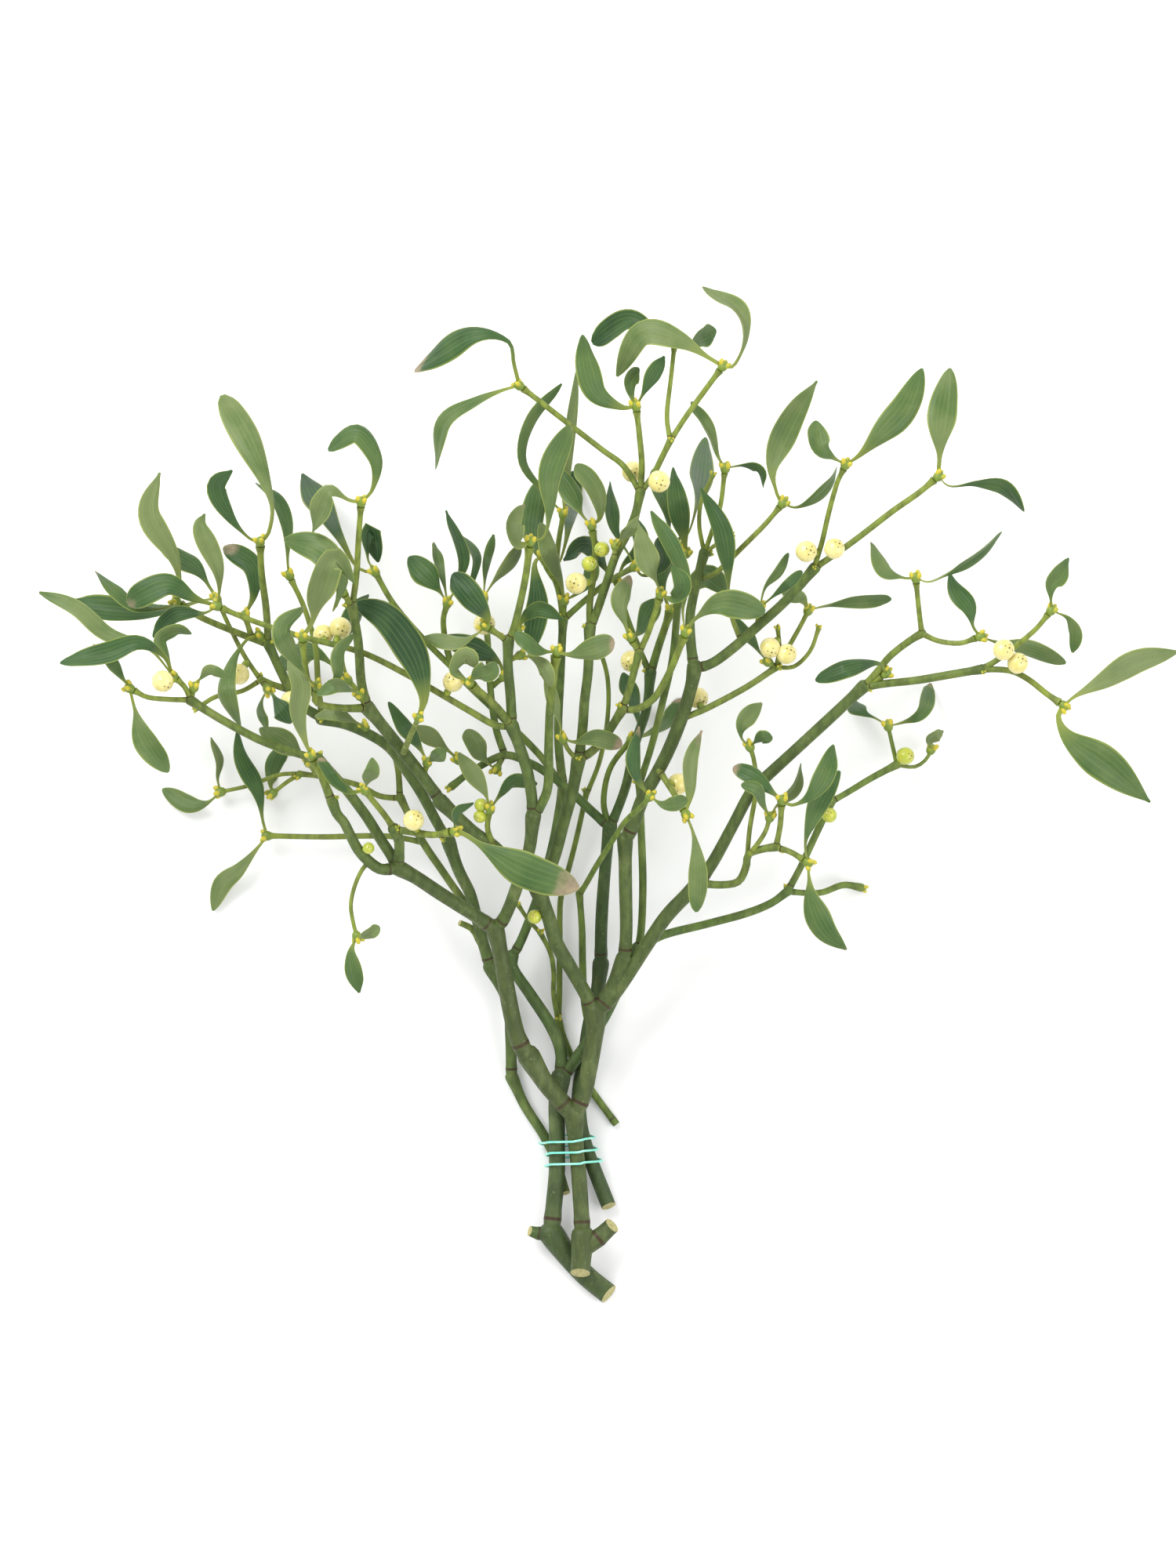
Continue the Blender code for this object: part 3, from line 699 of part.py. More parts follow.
def leaf_pair(shoot, lifts, helpers):
    """The bud with its one or two leaves, as separate overlapping bodies."""
    name, leaves = LEAVES[shoot]
    pieces = [ball(name + "_bud", bud_centre(shoot), BUD_RADIUS, 5, 3, helpers)]
    for number, leaf in enumerate(leaves):
        width, roll, _ = leaf
        path = leaf_path(shoot, leaf, lifts[name, number], LEAF_STATIONS + 1)
        pieces.append(blade(f"{name}_{number}", path, leaf_sides(path, roll), width, helpers))
    return pieces


def make_stems(collection, helpers, lifts):
    for stem, colour in STEM_COLOURS.items():
        pieces = [shoot_tube(name, helpers) for name in SHOOTS if SHOOTS[name][0] == stem]
        for shoot, (name, _) in LEAVES.items():
            if SHOOTS[shoot][0] == stem and name in GROWN_ON:
                pieces += leaf_pair(shoot, lifts, helpers)
        join_bodies(stem, pieces, collection, principled(stem, colour, 0.6))


def make_leaves(collection, helpers, lifts):
    for shoot, (name, _) in LEAVES.items():
        if name not in GROWN_ON:
            pieces = leaf_pair(shoot, lifts, helpers)
            join_bodies("leaves_" + name, pieces, collection, principled("leaves_" + name, LEAF_COLOUR, 0.5))


def make_berries(collection, helpers):
    for name, group in BERRIES.items():
        pieces = [
            ball(f"{name}_{number}", Vector(berry[:3]), berry[3], 8, 6, helpers)
            for number, berry in enumerate(group)
        ]
        join_bodies(name, pieces, collection, principled(name, BERRY_COLOUR, 0.3))


def trunk_section(name, y):
    """Where a shoot crosses the given Y, as X, height and radius."""
    path = shoot_path(name)
    ys = [p.y for p, _ in path]
    return tuple(
        np.interp(y, ys, column)
        for column in ([p.x for p, _ in path], [p.z for p, _ in path], [r for _, r in path])
    )


def make_tie(collection, helpers):
    """The wire, wound taut: at each angle it lies on whichever stem reaches furthest out."""
    points = []
    total = WIRE_TURNS * WIRE_STEPS
    for step in range(total + 1):
        share = step / total
        y = WIRE_TOP + (WIRE_BOTTOM - WIRE_TOP) * share
        angle = -math.pi / 2 + 2 * math.pi * WIRE_TURNS * share
        out = Vector((math.cos(angle), math.sin(angle)))
        front = "b_trunk2" if y > -1 else "b_trunk"
        reach = []
        for name in ("a_trunk", front, "c_trunk", "d_trunk"):
            x, z, radius = trunk_section(name, y)
            reach.append((Vector((x, z)).dot(out) + radius, x, z, radius))
        _, x, z, radius = max(reach)
        spread = radius + WIRE_GAP + WIRE_RADIUS + 0.25
        points.append(Vector((x + out.x * spread, y, z + out.y * spread)))
    radii = [WIRE_RADIUS] * len(points)
    pieces = [tube("tie", points, radii, 4, helpers)]
    join_bodies("tie_wire", pieces, collection, principled("tie_wire", WIRE_COLOUR, 0.4))


def stand_on_origin(collection):
    """Parents every piece to an empty and puts the middle of the bunch's underside at the origin."""
    bpy.context.view_layer.update()
    corners = np.array(
        [obj.matrix_world @ vertex.co for obj in collection.objects for vertex in obj.data.vertices]
    )
    low = corners.min(axis=0)
    high = corners.max(axis=0)
    holder = bpy.data.objects.new("mistletoe_bunch_origin", None)
    collection.objects.link(holder)
    holder.location = (-(low[0] + high[0]) / 2, -(low[1] + high[1]) / 2, -low[2])
    for obj in collection.objects:
        if obj != holder:
            obj.parent = holder


def main():
    for obj in list(bpy.data.objects):
        bpy.data.objects.remove(obj)
    collection = bpy.data.collections.new("mistletoe_bunch")
    helpers = bpy.data.collections.new("helpers")
    for made in (collection, helpers):
        bpy.context.scene.collection.children.link(made)
    lifts = place_leaves()
    make_stems(collection, helpers, lifts)
    make_leaves(collection, helpers, lifts)
    make_berries(collection, helpers)
    make_tie(collection, helpers)
    stand_on_origin(collection)


main()
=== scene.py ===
"""The looks of the mistletoe bunch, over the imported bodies.

It holds the layout of the shoots, leaves and berries, then the functions that make fine meshes on that
layout, then the materials, the pieces and the stage. The layout is in millimetres until a mesh is made.
"""

import math
import random

import bmesh
import bpy
import numpy as np
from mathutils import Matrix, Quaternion, Vector


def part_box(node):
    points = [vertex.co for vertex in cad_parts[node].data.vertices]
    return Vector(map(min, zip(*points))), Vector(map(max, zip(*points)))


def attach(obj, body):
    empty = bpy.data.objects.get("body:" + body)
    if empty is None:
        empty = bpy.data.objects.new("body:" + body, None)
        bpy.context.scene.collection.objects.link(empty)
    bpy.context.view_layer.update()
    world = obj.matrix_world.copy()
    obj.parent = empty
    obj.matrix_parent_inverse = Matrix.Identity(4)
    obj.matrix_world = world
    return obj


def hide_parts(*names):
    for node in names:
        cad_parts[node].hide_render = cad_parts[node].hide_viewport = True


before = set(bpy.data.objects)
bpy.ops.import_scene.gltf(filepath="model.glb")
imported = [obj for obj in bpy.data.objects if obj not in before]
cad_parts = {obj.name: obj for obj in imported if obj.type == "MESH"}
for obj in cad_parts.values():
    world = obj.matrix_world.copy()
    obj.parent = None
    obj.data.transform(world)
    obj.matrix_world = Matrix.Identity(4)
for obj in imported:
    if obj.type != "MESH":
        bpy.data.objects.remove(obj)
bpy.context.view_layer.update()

MM = 0.001
FLOOR_GAP = 0.7  # a leaf's midrib stays this far above the surface
TIP_GAP = 0.35  # between a twig's end and the bud of a pair that is its own body
BUD_RADIUS = 1.7
LEAF_CLEARANCE = 2.6  # aimed at between a midrib and anything else
PLACING_ROWS = 15  # points along a leaf while its lift is chosen
LIFTS = (0, 3, -3, 6, -6, 9, -9, 12, -12, 16, -16, 20, -20, 25, -25, 30, -30)
WIRE_RADIUS = 0.45
WIRE_GAP = 0.35
WIRE_SLACK = 0.25
WIRE_TURNS = 3
WIRE_TOP = 5.6  # where along Y the winding starts and ends
WIRE_BOTTOM = -7.6
WIRE_STEPS = 48  # points in a turn
WIRE_POINTS = 200  # points on the smoothed winding
WIRE_SIDES = 10
TRUNK_JOINT = -1  # the Y at which b_trunk ends and b_trunk2 starts

# ---------------------------------------------------------------- colours

def linear(red, green, blue):
    """A colour as seen on a screen, 0 to 255, as the shader's own numbers."""
    parts = (red, green, blue)
    return (
        *(part / 255 / 12.92 if part <= 10 else ((part / 255 + 0.055) / 1.055) ** 2.4 for part in parts),
        1.0,
    )


# Greens of a leaf's upper side by its tone, then of its under side.
LEAF_TONES = [
    (0.0, linear(36, 64, 34)),
    (0.3, linear(54, 84, 42)),
    (0.65, linear(78, 101, 52)),
    (1.0, linear(107, 121, 74)),
]
LEAF_BACK_TONES = [
    (0.0, linear(80, 106, 62)),
    (0.5, linear(106, 126, 76)),
    (1.0, linear(134, 146, 92)),
]
# How strong the veins and the yellowish rim are across the blade, from one edge to the other.
VEIN_STOPS = [
    (0.0, 0.0), (0.13, 0.0), (0.17, 0.6), (0.21, 0.0),
    (0.30, 0.0), (0.34, 0.9), (0.38, 0.0),
    (0.47, 0.0), (0.50, 1.0), (0.53, 0.0),
    (0.62, 0.0), (0.66, 0.9), (0.70, 0.0),
    (0.79, 0.0), (0.83, 0.6), (0.87, 0.0), (1.0, 0.0),
]
RIM_STOPS = [(0.0, 1.0), (0.045, 0.5), (0.07, 0.0), (0.93, 0.0), (0.955, 0.5), (1.0, 1.0)]

# Unripe berries, too small to be bodies of their own: X, Y, height and radius.
UNRIPE_BERRIES = [
    (-16, 90, 37, 2.8), (-79.3, 116.5, 73, 2.3), (-36.5, 133, 55, 2.6), (-36.8, 128.6, 54, 2.6),
    (126.8, 151.8, 15.0, 3.5), (97.5, 129, 19.0, 3), (5, 225, 81, 3), (9.8, 230.5, 82, 3),
]

# Leaves whose look is set here rather than drawn: (pair, leaf): what differs.
# A tone here is partly the leaf's own green and partly painted light and shade: leaves lying in the light
# are given lighter tones, shaded ones darker.
LOOKS = {
    ("front_large", 0): {"tone": 0.5, "dry": 0.34, "point": 0.1, "widest": 0.6},
    ("middle_1", 0): {"tone": 0.95, "cup": 0.5},
    ("middle_1", 1): {"tone": 0.6, "widest": 0.7, "foot_turn": 55, "point": 0.2},
    ("middle_2", 0): {"tone": 0.05, "point": 0.0, "widest": 0.6, "foot": 0.0, "foot_turn": 10, "dry": 0.0},
    ("middle_3", 0): {"tone": 0.9, "dry": 0.0},
    ("middle_4", 0): {"tone": 0.85, "dry": 0.35, "point": 0.0},
    ("middle_5", 0): {"tone": 0.75},
    ("middle_right_1", 0): {"tone": 0.7, "point": 0.1, "foot_turn": 20},
    ("middle_right_1", 1): {"tone": 0.5, "cup": 0.5},
    ("middle_right_2", 0): {"tone": 1.0, "point": 1.0, "widest": 0.52},
    ("left_1", 0): {"tone": 1.0, "point": 0.6},
    ("left_2", 0): {"tone": 0.7, "point": 0.3},
    ("left_5", 1): {"tone": 0.9, "point": 1.0, "widest": 0.66},
    ("left_6", 1): {"tone": 0.9, "point": 1.0},
    ("left_8", 0): {"tone": 0.65},
    ("left_9", 0): {"tone": 0.95, "widest": 0.5},
    ("left_10", 0): {"tone": 1.0, "point": 1.0, "widest": 0.6},
    ("left_11", 0): {"tone": 0.85, "point": 0.0, "foot": 0.2, "widest": 0.72},
    ("left_12", 0): {"tone": 0.3},
    ("right_1", 0): {"tone": 1.0, "point": 0.7, "foot": 0.05},
    ("right_1", 1): {"tone": 0.6, "point": 1.0, "widest": 0.52, "foot": 0.08},
    ("right_9", 0): {"tone": 0.75, "point": 0.0},
    ("right_9", 1): {"tone": 0.85, "dry": 0.5, "point": 1.0},
    ("right_7", 0): {"tone": 0.35},
    ("right_7", 1): {"tone": 0.55, "point": 0.8},
    ("top_1", 1): {"tone": 0.7},
    ("top_2", 0): {"tone": 0.6, "point": 0.2},
    ("top_3", 1): {"tone": 0.85, "point": 0.6},
    ("top_left", 0): {"tone": 0.25, "widest": 0.68, "foot": 0.25},
    ("top_left", 1): {"tone": 0.7, "widest": 0.62},
    ("top_right_1", 0): {"tone": 0.75, "point": 0.4, "foot": 0.15},
    ("top_right_2", 0): {"tone": 0.65, "point": 0.5},
    ("top_right_3", 0): {"tone": 0.8, "point": 1.0, "widest": 0.52},
    ("spur_1", 0): {"tone": 0.0, "point": 0.2, "foot": 0.0, "widest": 0.55, "foot_turn": 15},
    ("spur_4", 0): {"tone": 0.35, "dry": 0.0},
    ("spur_5", 0): {"tone": 1.0},
    ("spur_7", 0): {"tone": 1.0, "point": 1.0},
    ("spur_17", 0): {"tone": 0.0, "point": 0.1},
    ("spur_21", 0): {"tone": 0.9, "point": 0.8},
    ("spur_21", 1): {"tone": 0.85, "dry": 0.4, "point": 0.0},
    ("spur_23", 0): {"tone": 0.8, "point": 0.3},
    ("spur_24", 0): {"tone": 1.0},
    ("spur_25", 0): {"tone": 0.9},
    ("back_1", 2): {"tone": 0.8},
    ("back_8", 1): {"tone": 0.9},
    ("back_8", 2): {"tone": 0.7},
}

# Bark colours: stem: (old, middle, young).
STEMS = {
    "stem_front": ((72, 84, 44), (84, 103, 48), (122, 136, 54)),
    # stem_left and stem_back get darker bark than the rest: painted shade, as they lie behind and under the
    # front stem.
    "stem_left": ((64, 80, 44), (74, 98, 46), (112, 130, 52)),
    "stem_back": ((58, 74, 42), (66, 90, 44), (106, 126, 46)),
    "stem_thin_left": ((66, 80, 44), (82, 102, 48), (122, 136, 54)),
    "stem_thin_back": ((70, 80, 46), (76, 98, 48), (112, 130, 52)),
}

# ---------------------------------------------------------------- layout, in millimetres
# X runs to the right and Y up the bunch from the tie; Z is height above the surface that it lies on.

# Shoots by stem: name: (path in X and Y, height at the start and end, radius at the start and end).
GROWTH = {
    "stem_front": {
        # Front stem: two cut stubs, then a fork into a left and a right half.
        "b_foot": ([(1.5, -47.5), (2, -40), (2.5, -33)], (14.2, 13.8), (4.0, 3.9)),
        "b_stub": ([(3, -38), (8.5, -34), (13.8, -29.2)], (13.9, 13.6), (3.7, 3.3)),
        "b_trunk": ([(2.5, -34), (2, -25), (1, -10), (0, 0)], (13.8, 12.6), (3.2, 3.1)),
        "b_trunk2": ([(0.1, -1), (-0.5, 7), (-1, 14)], (12.6, 16.6), (3.1, 3.3)),
        "b_left": ([(-1, 13), (-7, 20), (-12, 26), (-18.5, 36.5)], (16.8, 22.5), (3.4, 3.8)),
        "b_left2": ([(-18.5, 35.5), (-22, 42), (-24, 48.5), (-26, 58), (-28, 70), (-30, 80), (-31.4, 86)],
            (22.5, 38), (3.6, 3.1)),
        "l1": ([(-31, 85), (-38, 90), (-45.4, 94.7), (-53, 99.6), (-61, 105), (-68.2, 109)], (38, 62),
            (2.8, 2.7)),
        "l1a": ([(-68, 109), (-74.5, 108.4), (-79.6, 111.8), (-84, 117), (-88.4, 126), (-91.3, 129.6),
            (-93.2, 135)], (62, 80), (2.3, 1.9)),
        "l1a2": ([(-93.2, 134), (-95.4, 140), (-97.5, 145), (-100, 150)], (80, 89), (1.9, 1.3)),
        "l1b": ([(-68, 108.5), (-70, 112.5), (-74.5, 119.4), (-79.6, 127.7), (-84.6, 134.6), (-89.7, 141),
            (-96, 148), (-99, 151)], (61, 72), (2.3, 1.9)),
        "l1b2": ([(-98, 150.5), (-106, 152.5), (-120, 157.5), (-135, 165.5), (-147, 173)], (72, 92),
            (1.6, 1.7)),
        "l1b3": ([(-146.5, 173), (-155, 173.2), (-163, 174), (-168, 176.5)], (92, 98), (1.1, 1.0)),
        "l1b4": ([(-146.5, 173), (-149, 178), (-152, 181)], (92, 97), (1.1, 1.0)),
        "l1c": ([(-68, 109), (-67.7, 114), (-67.7, 119.4), (-69.7, 124)], (62, 73), (2.1, 2.0)),
        "l1cr": ([(-69.3, 123.5), (-64.4, 123), (-55, 121.6), (-48, 122.6)], (73, 86), (1.5, 1.3)),
        "l1cl": ([(-69.7, 124), (-73, 129), (-77, 134), (-80.5, 138.4)], (73, 86), (1.3, 1.1)),
        "h2": ([(-79, 111.4), (-82, 108), (-84.8, 101.7), (-86.2, 94.7), (-85.3, 88), (-84, 83)],
            (66.8, 62), (0.9, 0.8)),
        "l2": ([(-31, 85.5), (-28, 89), (-25, 95.5), (-22, 104), (-18, 116), (-16.4, 129)], (38, 64),
            (2.5, 2.6)),
        "l2a": ([(-16.6, 128.5), (-17, 136), (-18.6, 145.6), (-21.8, 155.8), (-24.6, 163.4)], (64, 80),
            (2.2, 2.3)),
        "l2a1": ([(-24.5, 163), (-25, 174), (-26, 186), (-25.8, 196)], (80, 92), (2.0, 2.0)),
        "l2a1u": ([(-25.8, 195), (-23.5, 201), (-21, 211), (-19, 221), (-17.7, 231)], (92, 106),
            (1.5, 1.4)),
        "l2a1l": ([(-25.8, 195), (-29, 197.5), (-33, 200)], (92, 96), (1.3, 1.1)),
        "l2a2": ([(-24.5, 163), (-31, 171), (-39.5, 178.5)], (80, 99), (1.6, 1.4)),
        "l2b": ([(-16.4, 128.5), (-12.9, 134), (-10.7, 141), (-10.5, 156), (-10, 170), (-8.6, 182),
            (-7.6, 189.5)], (64, 94), (2.0, 1.5)),
        "n3": ([(-24.5, 163), (-31, 163.5), (-40, 168.5), (-52, 175.5), (-65, 183), (-80, 190.5),
            (-92, 194), (-104, 197), (-117, 201), (-128, 205), (-135, 208)], (79, 84), (1.4, 1.1)),
        "b_right": ([(-1, 13), (3, 22), (5, 32), (7, 45), (7.5, 54)], (16.6, 24), (3.2, 3.7)),
        "r1": ([(7.5, 53), (15, 61), (27, 79), (34.5, 90), (42, 98), (48, 104)], (24, 42), (3.0, 2.7)),
        "r1b": ([(47, 103), (53, 112), (60, 125), (67, 138), (73, 144), (86, 156), (100, 169),
            (110, 178.5)], (42, 70), (2.4, 2.2)),
        "r1r": ([(109.5, 178), (118, 179.3), (130, 180.6), (142, 182.6), (155, 184.8)], (70, 84),
            (1.6, 1.7)),
        "r1r2": ([(154.5, 184.8), (165, 184.2), (172, 181), (179, 175.5), (184, 172)], (84, 90),
            (1.3, 1.2)),
        "r1r3": ([(154.5, 184.8), (160, 188), (168, 194), (175, 200), (179.5, 205.5)], (84, 93),
            (1.2, 1.0)),
        "r1v": ([(109.5, 178), (116.5, 182.2)], (70, 72.5), (1.3, 1.1)),
        "r1u": ([(109.5, 178), (114.5, 183.5), (120, 190), (127, 195.5), (132, 198.5)], (70, 84),
            (1.3, 1.5)),
        "r1u1": ([(131.8, 198), (130.8, 205), (130, 212), (129.4, 217.5)], (84, 94), (1.1, 1.0)),
        "r1u2": ([(131.8, 198.3), (138, 195.5), (146, 194.6), (152, 196.5)], (84, 91), (1.1, 1.0)),
        "r6": ([(47, 103), (55, 102.3), (62, 103.5), (65, 109), (66, 114), (71, 116), (77, 117)], (42, 56),
            (1.6, 1.5)),
        "r6u": ([(76.5, 116.8), (78, 125), (78.5, 133)], (56, 66), (1.2, 1.1)),
        "r6r": ([(76.5, 116.8), (82, 115), (87, 112)], (56, 61), (1.2, 1.1)),
        "r6l": ([(65.5, 112), (66.5, 124), (69, 140), (68, 150), (66.5, 155)], (49, 62), (1.0, 0.9)),
        "r2": ([(7.5, 53), (13.5, 62), (18.5, 74)], (24, 31), (3.0, 2.8)),
        "r2b": ([(18.5, 73), (19.2, 85), (18.9, 103), (18.7, 120)], (31, 45), (2.6, 2.7)),
        "r2n": ([(31.5, 146.5), (37, 138), (41, 131)], (57, 66), (1.3, 1.1)),
        "r2c": ([(18.7, 119), (22, 126), (25.5, 135.5), (30.8, 145), (35.8, 155), (40.9, 168), (44, 178.5),
            (45.3, 186)], (45, 70), (2.7, 2.6)),
        "k1": ([(45, 185), (52, 187.2), (60, 193), (69, 201), (80, 211), (91, 223.5)], (70, 90),
            (2.0, 1.9)),
        "k1a": ([(90.5, 223), (105, 233), (120, 244.5), (130, 251.5), (136, 256.5)], (90, 104), (1.3, 1.2)),
        "k1b": ([(90.5, 223), (93.5, 233), (96, 244), (99, 255), (101.5, 260.5)], (90, 107), (1.1, 1.0)),
        "k2": ([(45, 185), (43.8, 195), (43.6, 206), (46, 218), (49, 229.5)], (70, 68), (2.1, 1.8)),
        "k2a": ([(46.3, 219), (53, 221.5), (57, 225), (64, 232), (72, 240), (77.5, 246.5)], (67, 80),
            (1.1, 1.0)),
        "k2b": ([(49, 229), (52, 238), (55, 247), (56.6, 259.5)], (68, 76), (1.0, 0.9)),
        "k2c": ([(49, 229), (47, 240), (48, 250), (52, 258.5)], (68, 70), (0.9, 0.8)),
        "k2d": ([(49, 229), (54, 233), (58.5, 236)], (68, 72), (0.8, 0.8)),
        "k3": ([(40.3, 166), (50, 170), (65, 178), (77, 186)], (62, 66), (1.3, 1.3)),
        "k3a": ([(76.5, 185.6), (77.6, 193), (77, 200)], (66, 74), (0.9, 0.8)),
        "k3b": ([(76.5, 185.6), (81.5, 194), (86, 202), (88.5, 207)], (66, 71), (1.0, 0.9)),
        "k3c": ([(76.5, 185.6), (83.5, 186), (89.5, 192), (92.5, 200)], (66, 66), (0.9, 0.8)),
        "r4": ([(7.5, 53), (2.6, 62), (-2, 70), (-7.7, 80), (-10.7, 90), (-15, 101)], (24, 40), (2.8, 2.9)),
        "p": ([(-14.8, 100), (-9, 111.5), (-4.7, 126.6), (-1.5, 138), (1, 151)], (40, 58), (2.5, 2.4)),
        "p1": ([(1, 150), (2.4, 162), (3.2, 173), (4.5, 184), (5.2, 201)], (58, 74), (2.0, 2.0)),
        "p1a": ([(5.2, 200), (8.3, 208), (11, 216), (15, 228), (19, 235.5), (22.5, 243.5), (24.5, 252.5)],
            (74, 92), (1.7, 1.7)),
        "p1a1": ([(24.4, 252), (25, 262), (24.2, 272), (23, 282.5)], (92, 105), (1.3, 1.1)),
        "p1a2": ([(24.4, 252), (29, 258), (33, 266), (36, 272)], (92, 98), (1.2, 1.2)),
        "p1a2l": ([(35.8, 271.5), (34.5, 281), (36, 295), (37.3, 307)], (98, 100), (1.0, 0.9)),
        "p1a2r": ([(35.8, 271.5), (42, 281), (50, 292), (54.5, 298)], (98, 106), (1.1, 1.1)),
        "p1a3": ([(24.4, 252), (18, 262), (10, 268), (-5, 279.5), (-20, 291)], (92, 110), (1.2, 1.1)),
        "p1b": ([(5.2, 200), (5.2, 210), (6.8, 222), (7.2, 231), (6.2, 237.5)], (74, 80), (1.4, 1.2)),
        "p2": ([(1, 150.4), (6, 153.5), (11, 159), (18, 170)], (58, 66), (1.7, 1.7)),
        "p2a": ([(17.6, 169.6), (23, 169.6), (29.5, 173.5), (34, 180.5), (37.5, 188), (41, 197)], (66, 84),
            (1.4, 1.4)),
        "p2b": ([(17.6, 169.6), (20.2, 177), (22.5, 185.5), (24, 191.5)], (66, 77), (1.4, 1.5)),
        "p2b2": ([(24, 191.2), (21.5, 195.5)], (77, 80), (1.2, 1.1)),
        "p2b1": ([(24, 191.2), (27.2, 198), (30, 206), (31.6, 211.5)], (77, 87), (1.2, 1.2)),
        "p3": ([(0.6, 150), (-3, 154), (-5, 158)], (58, 63), (1.0, 0.9)),
        "m1": ([(-14.6, 100.6), (-25, 110), (-31.5, 117), (-40, 123), (-52.3, 134.6)], (40, 55),
            (2.6, 2.6)),
        "m1b": ([(-51.6, 134), (-58, 142.8), (-64.4, 151), (-70.7, 159), (-80, 170.5)], (55, 72),
            (2.4, 2.5)),
        "m1c": ([(-79.6, 170), (-82, 180), (-83, 195), (-85.3, 209)], (72, 98), (1.9, 1.8)),
        "m1c1": ([(-85.2, 208.5), (-83.5, 220), (-82.5, 235), (-81.6, 246)], (98, 116), (1.3, 1.1)),
        "m1c2": ([(-85.2, 208.5), (-88, 213)], (98, 104), (1.2, 1.1)),
        "m1d": ([(-79.6, 170), (-90, 170), (-99, 172), (-98.7, 176.5)], (72, 90), (1.7, 1.2)),
        "m1e": ([(-98, 172), (-102, 180), (-103.6, 190), (-104, 195)], (86, 98), (1.3, 1.2)),
        # Short spurs of the front stem that carry one or two leaves each.
        "m1f": ([(-66, 153), (-63, 160), (-60, 166)], (66, 92), (1.3, 1.0)),
        "m1g": ([(-58.5, 143.5), (-57, 149)], (57, 62), (1.1, 1.0)),
        "m1h": ([(-79.6, 170), (-82.5, 174.5)], (72, 77), (1.1, 1.0)),
        "l2a3": ([(-25.8, 195), (-22.5, 199.5)], (92, 88), (1.2, 1.0)),
        "l2a4": ([(-26, 188), (-21.5, 190)], (90, 86), (1.1, 1.0)),
        "l1b5": ([(-146.5, 173), (-145.5, 177.5)], (92, 94), (1.0, 0.9)),
        "p1c": ([(14.5, 226.5), (15, 231.5)], (86, 86), (1.1, 0.9)),
        "k1c": ([(69, 201), (70, 208)], (79, 82), (1.1, 0.9)),
        "k1d": ([(63, 195.6), (60, 203), (58.3, 210)], (76, 72), (1.1, 0.9)),
        "k3d": ([(76.5, 185.6), (73.5, 187.5)], (66, 68), (1.1, 0.9)),
        "r6d": ([(66.5, 114), (72, 122), (74, 128)], (53, 60), (1.0, 0.9)),
        "m1i": ([(-31.5, 117), (-34, 124), (-33, 131)], (48, 56), (1.2, 1.0)),
    },
    "stem_left": {
        # Left stem: thick foot with one stub, crossing behind the front stem to the back of the bunch.
        "a_foot": ([(12.5, -56), (5, -50), (0, -45), (-5, -39), (-10, -32)], (4.6, 8.6), (4.3, 4.1)),
        "a_stub": ([(-9.5, -32.5), (-14, -32.5), (-18, -31.5)], (8.6, 8.2), (3.2, 2.1)),
        "a_trunk": ([(-9.8, -33), (-8.5, -20), (-7.5, -8), (-7.5, 8), (-7.5, 18), (-6, 28)], (8.8, 10.6),
            (3.4, 3.3)),
        "f": ([(-6, 27), (-6, 38), (-10, 48), (-17.8, 60), (-24.5, 70), (-24.7, 75)], (10.6, 17),
            (2.6, 2.2)),
        "f2": ([(-24.7, 74.5), (-21.6, 80), (-18.7, 87), (-14, 100), (-9, 118), (-5, 140)], (17, 20),
            (1.9, 1.8)),
        "f3": ([(-5, 139), (-14, 152), (-30, 168), (-46, 184), (-50.5, 196)], (20, 40), (1.5, 1.3)),
        "f3a": ([(-50.3, 195), (-51, 204), (-49.5, 210)], (40, 48), (1.2, 1.1)),
        "f3b": ([(-46, 184), (-58, 196), (-70, 210), (-77, 222)], (36, 50), (1.2, 1.1)),
        "f4": ([(-5, 139), (-7, 160), (-6, 185), (-5, 205)], (20, 42), (1.8, 1.7)),
        "f4a": ([(-5, 204), (-6.5, 214), (-9, 222)], (42, 50), (1.3, 1.2)),
        "f4b": ([(-5, 204), (4, 212), (13, 219), (22, 224)], (42, 53), (1.3, 1.1)),
        "a3": ([(-6, 27), (2, 38), (10, 50), (16, 62), (24, 78)], (10.6, 22), (2.4, 2.3)),
        "v4": ([(24, 77), (25.2, 88), (25.6, 104), (25, 122), (24.3, 142)], (22, 36), (1.6, 1.5)),
        "v4a": ([(24.3, 141), (29, 156), (33, 172), (37, 190), (39, 212)], (36, 56), (1.4, 1.5)),
        "v4b": ([(39, 211), (38.5, 222), (39.5, 231)], (56, 60), (1.3, 1.2)),
        "r5": ([(24, 77), (33, 82.6), (50, 87), (65, 91), (75, 95), (82, 100)], (22, 13), (1.7, 1.6)),
        "r5r": ([(81.5, 99.6), (88, 99), (95, 99.2), (103, 102), (110, 101)], (13, 3), (1.2, 1.4)),
        "r5u": ([(81.5, 99.6), (87, 110), (93, 123), (98.5, 134.5)], (13, 15), (1.4, 1.5)),
        "r5v": ([(98, 134), (105, 138), (114, 143.4), (124, 148.7)], (15, 12), (1.2, 1.5)),
        "r5v1": ([(123.7, 148.3), (122, 155.5), (120.3, 163)], (12, 14), (0.9, 0.8)),
        "r5v2": ([(123.7, 148.3), (130.5, 147.6), (135, 150.5), (136.8, 154)], (12, 8), (0.8, 0.7)),
        "f4c": ([(-8, 219), (-11.5, 224), (-12.5, 228)], (49.5, 52), (1.2, 1.0)),
        "f4d": ([(-8, 219), (-7, 232), (-5, 244)], (49.5, 62), (1.2, 1.0)),
        "f4e": ([(-5, 204), (-4.6, 211)], (42, 46), (1.2, 1.0)),
        "v4c": ([(38.7, 224), (42, 229)], (59, 60), (1.1, 1.0)),
    },
    "stem_back": {
        # Short cut stem behind at the right.
        "c_trunk": ([(12.5, -22), (7, -8), (4, 0), (1.5, 10), (1, 22), (3, 35), (5, 48), (8, 60),
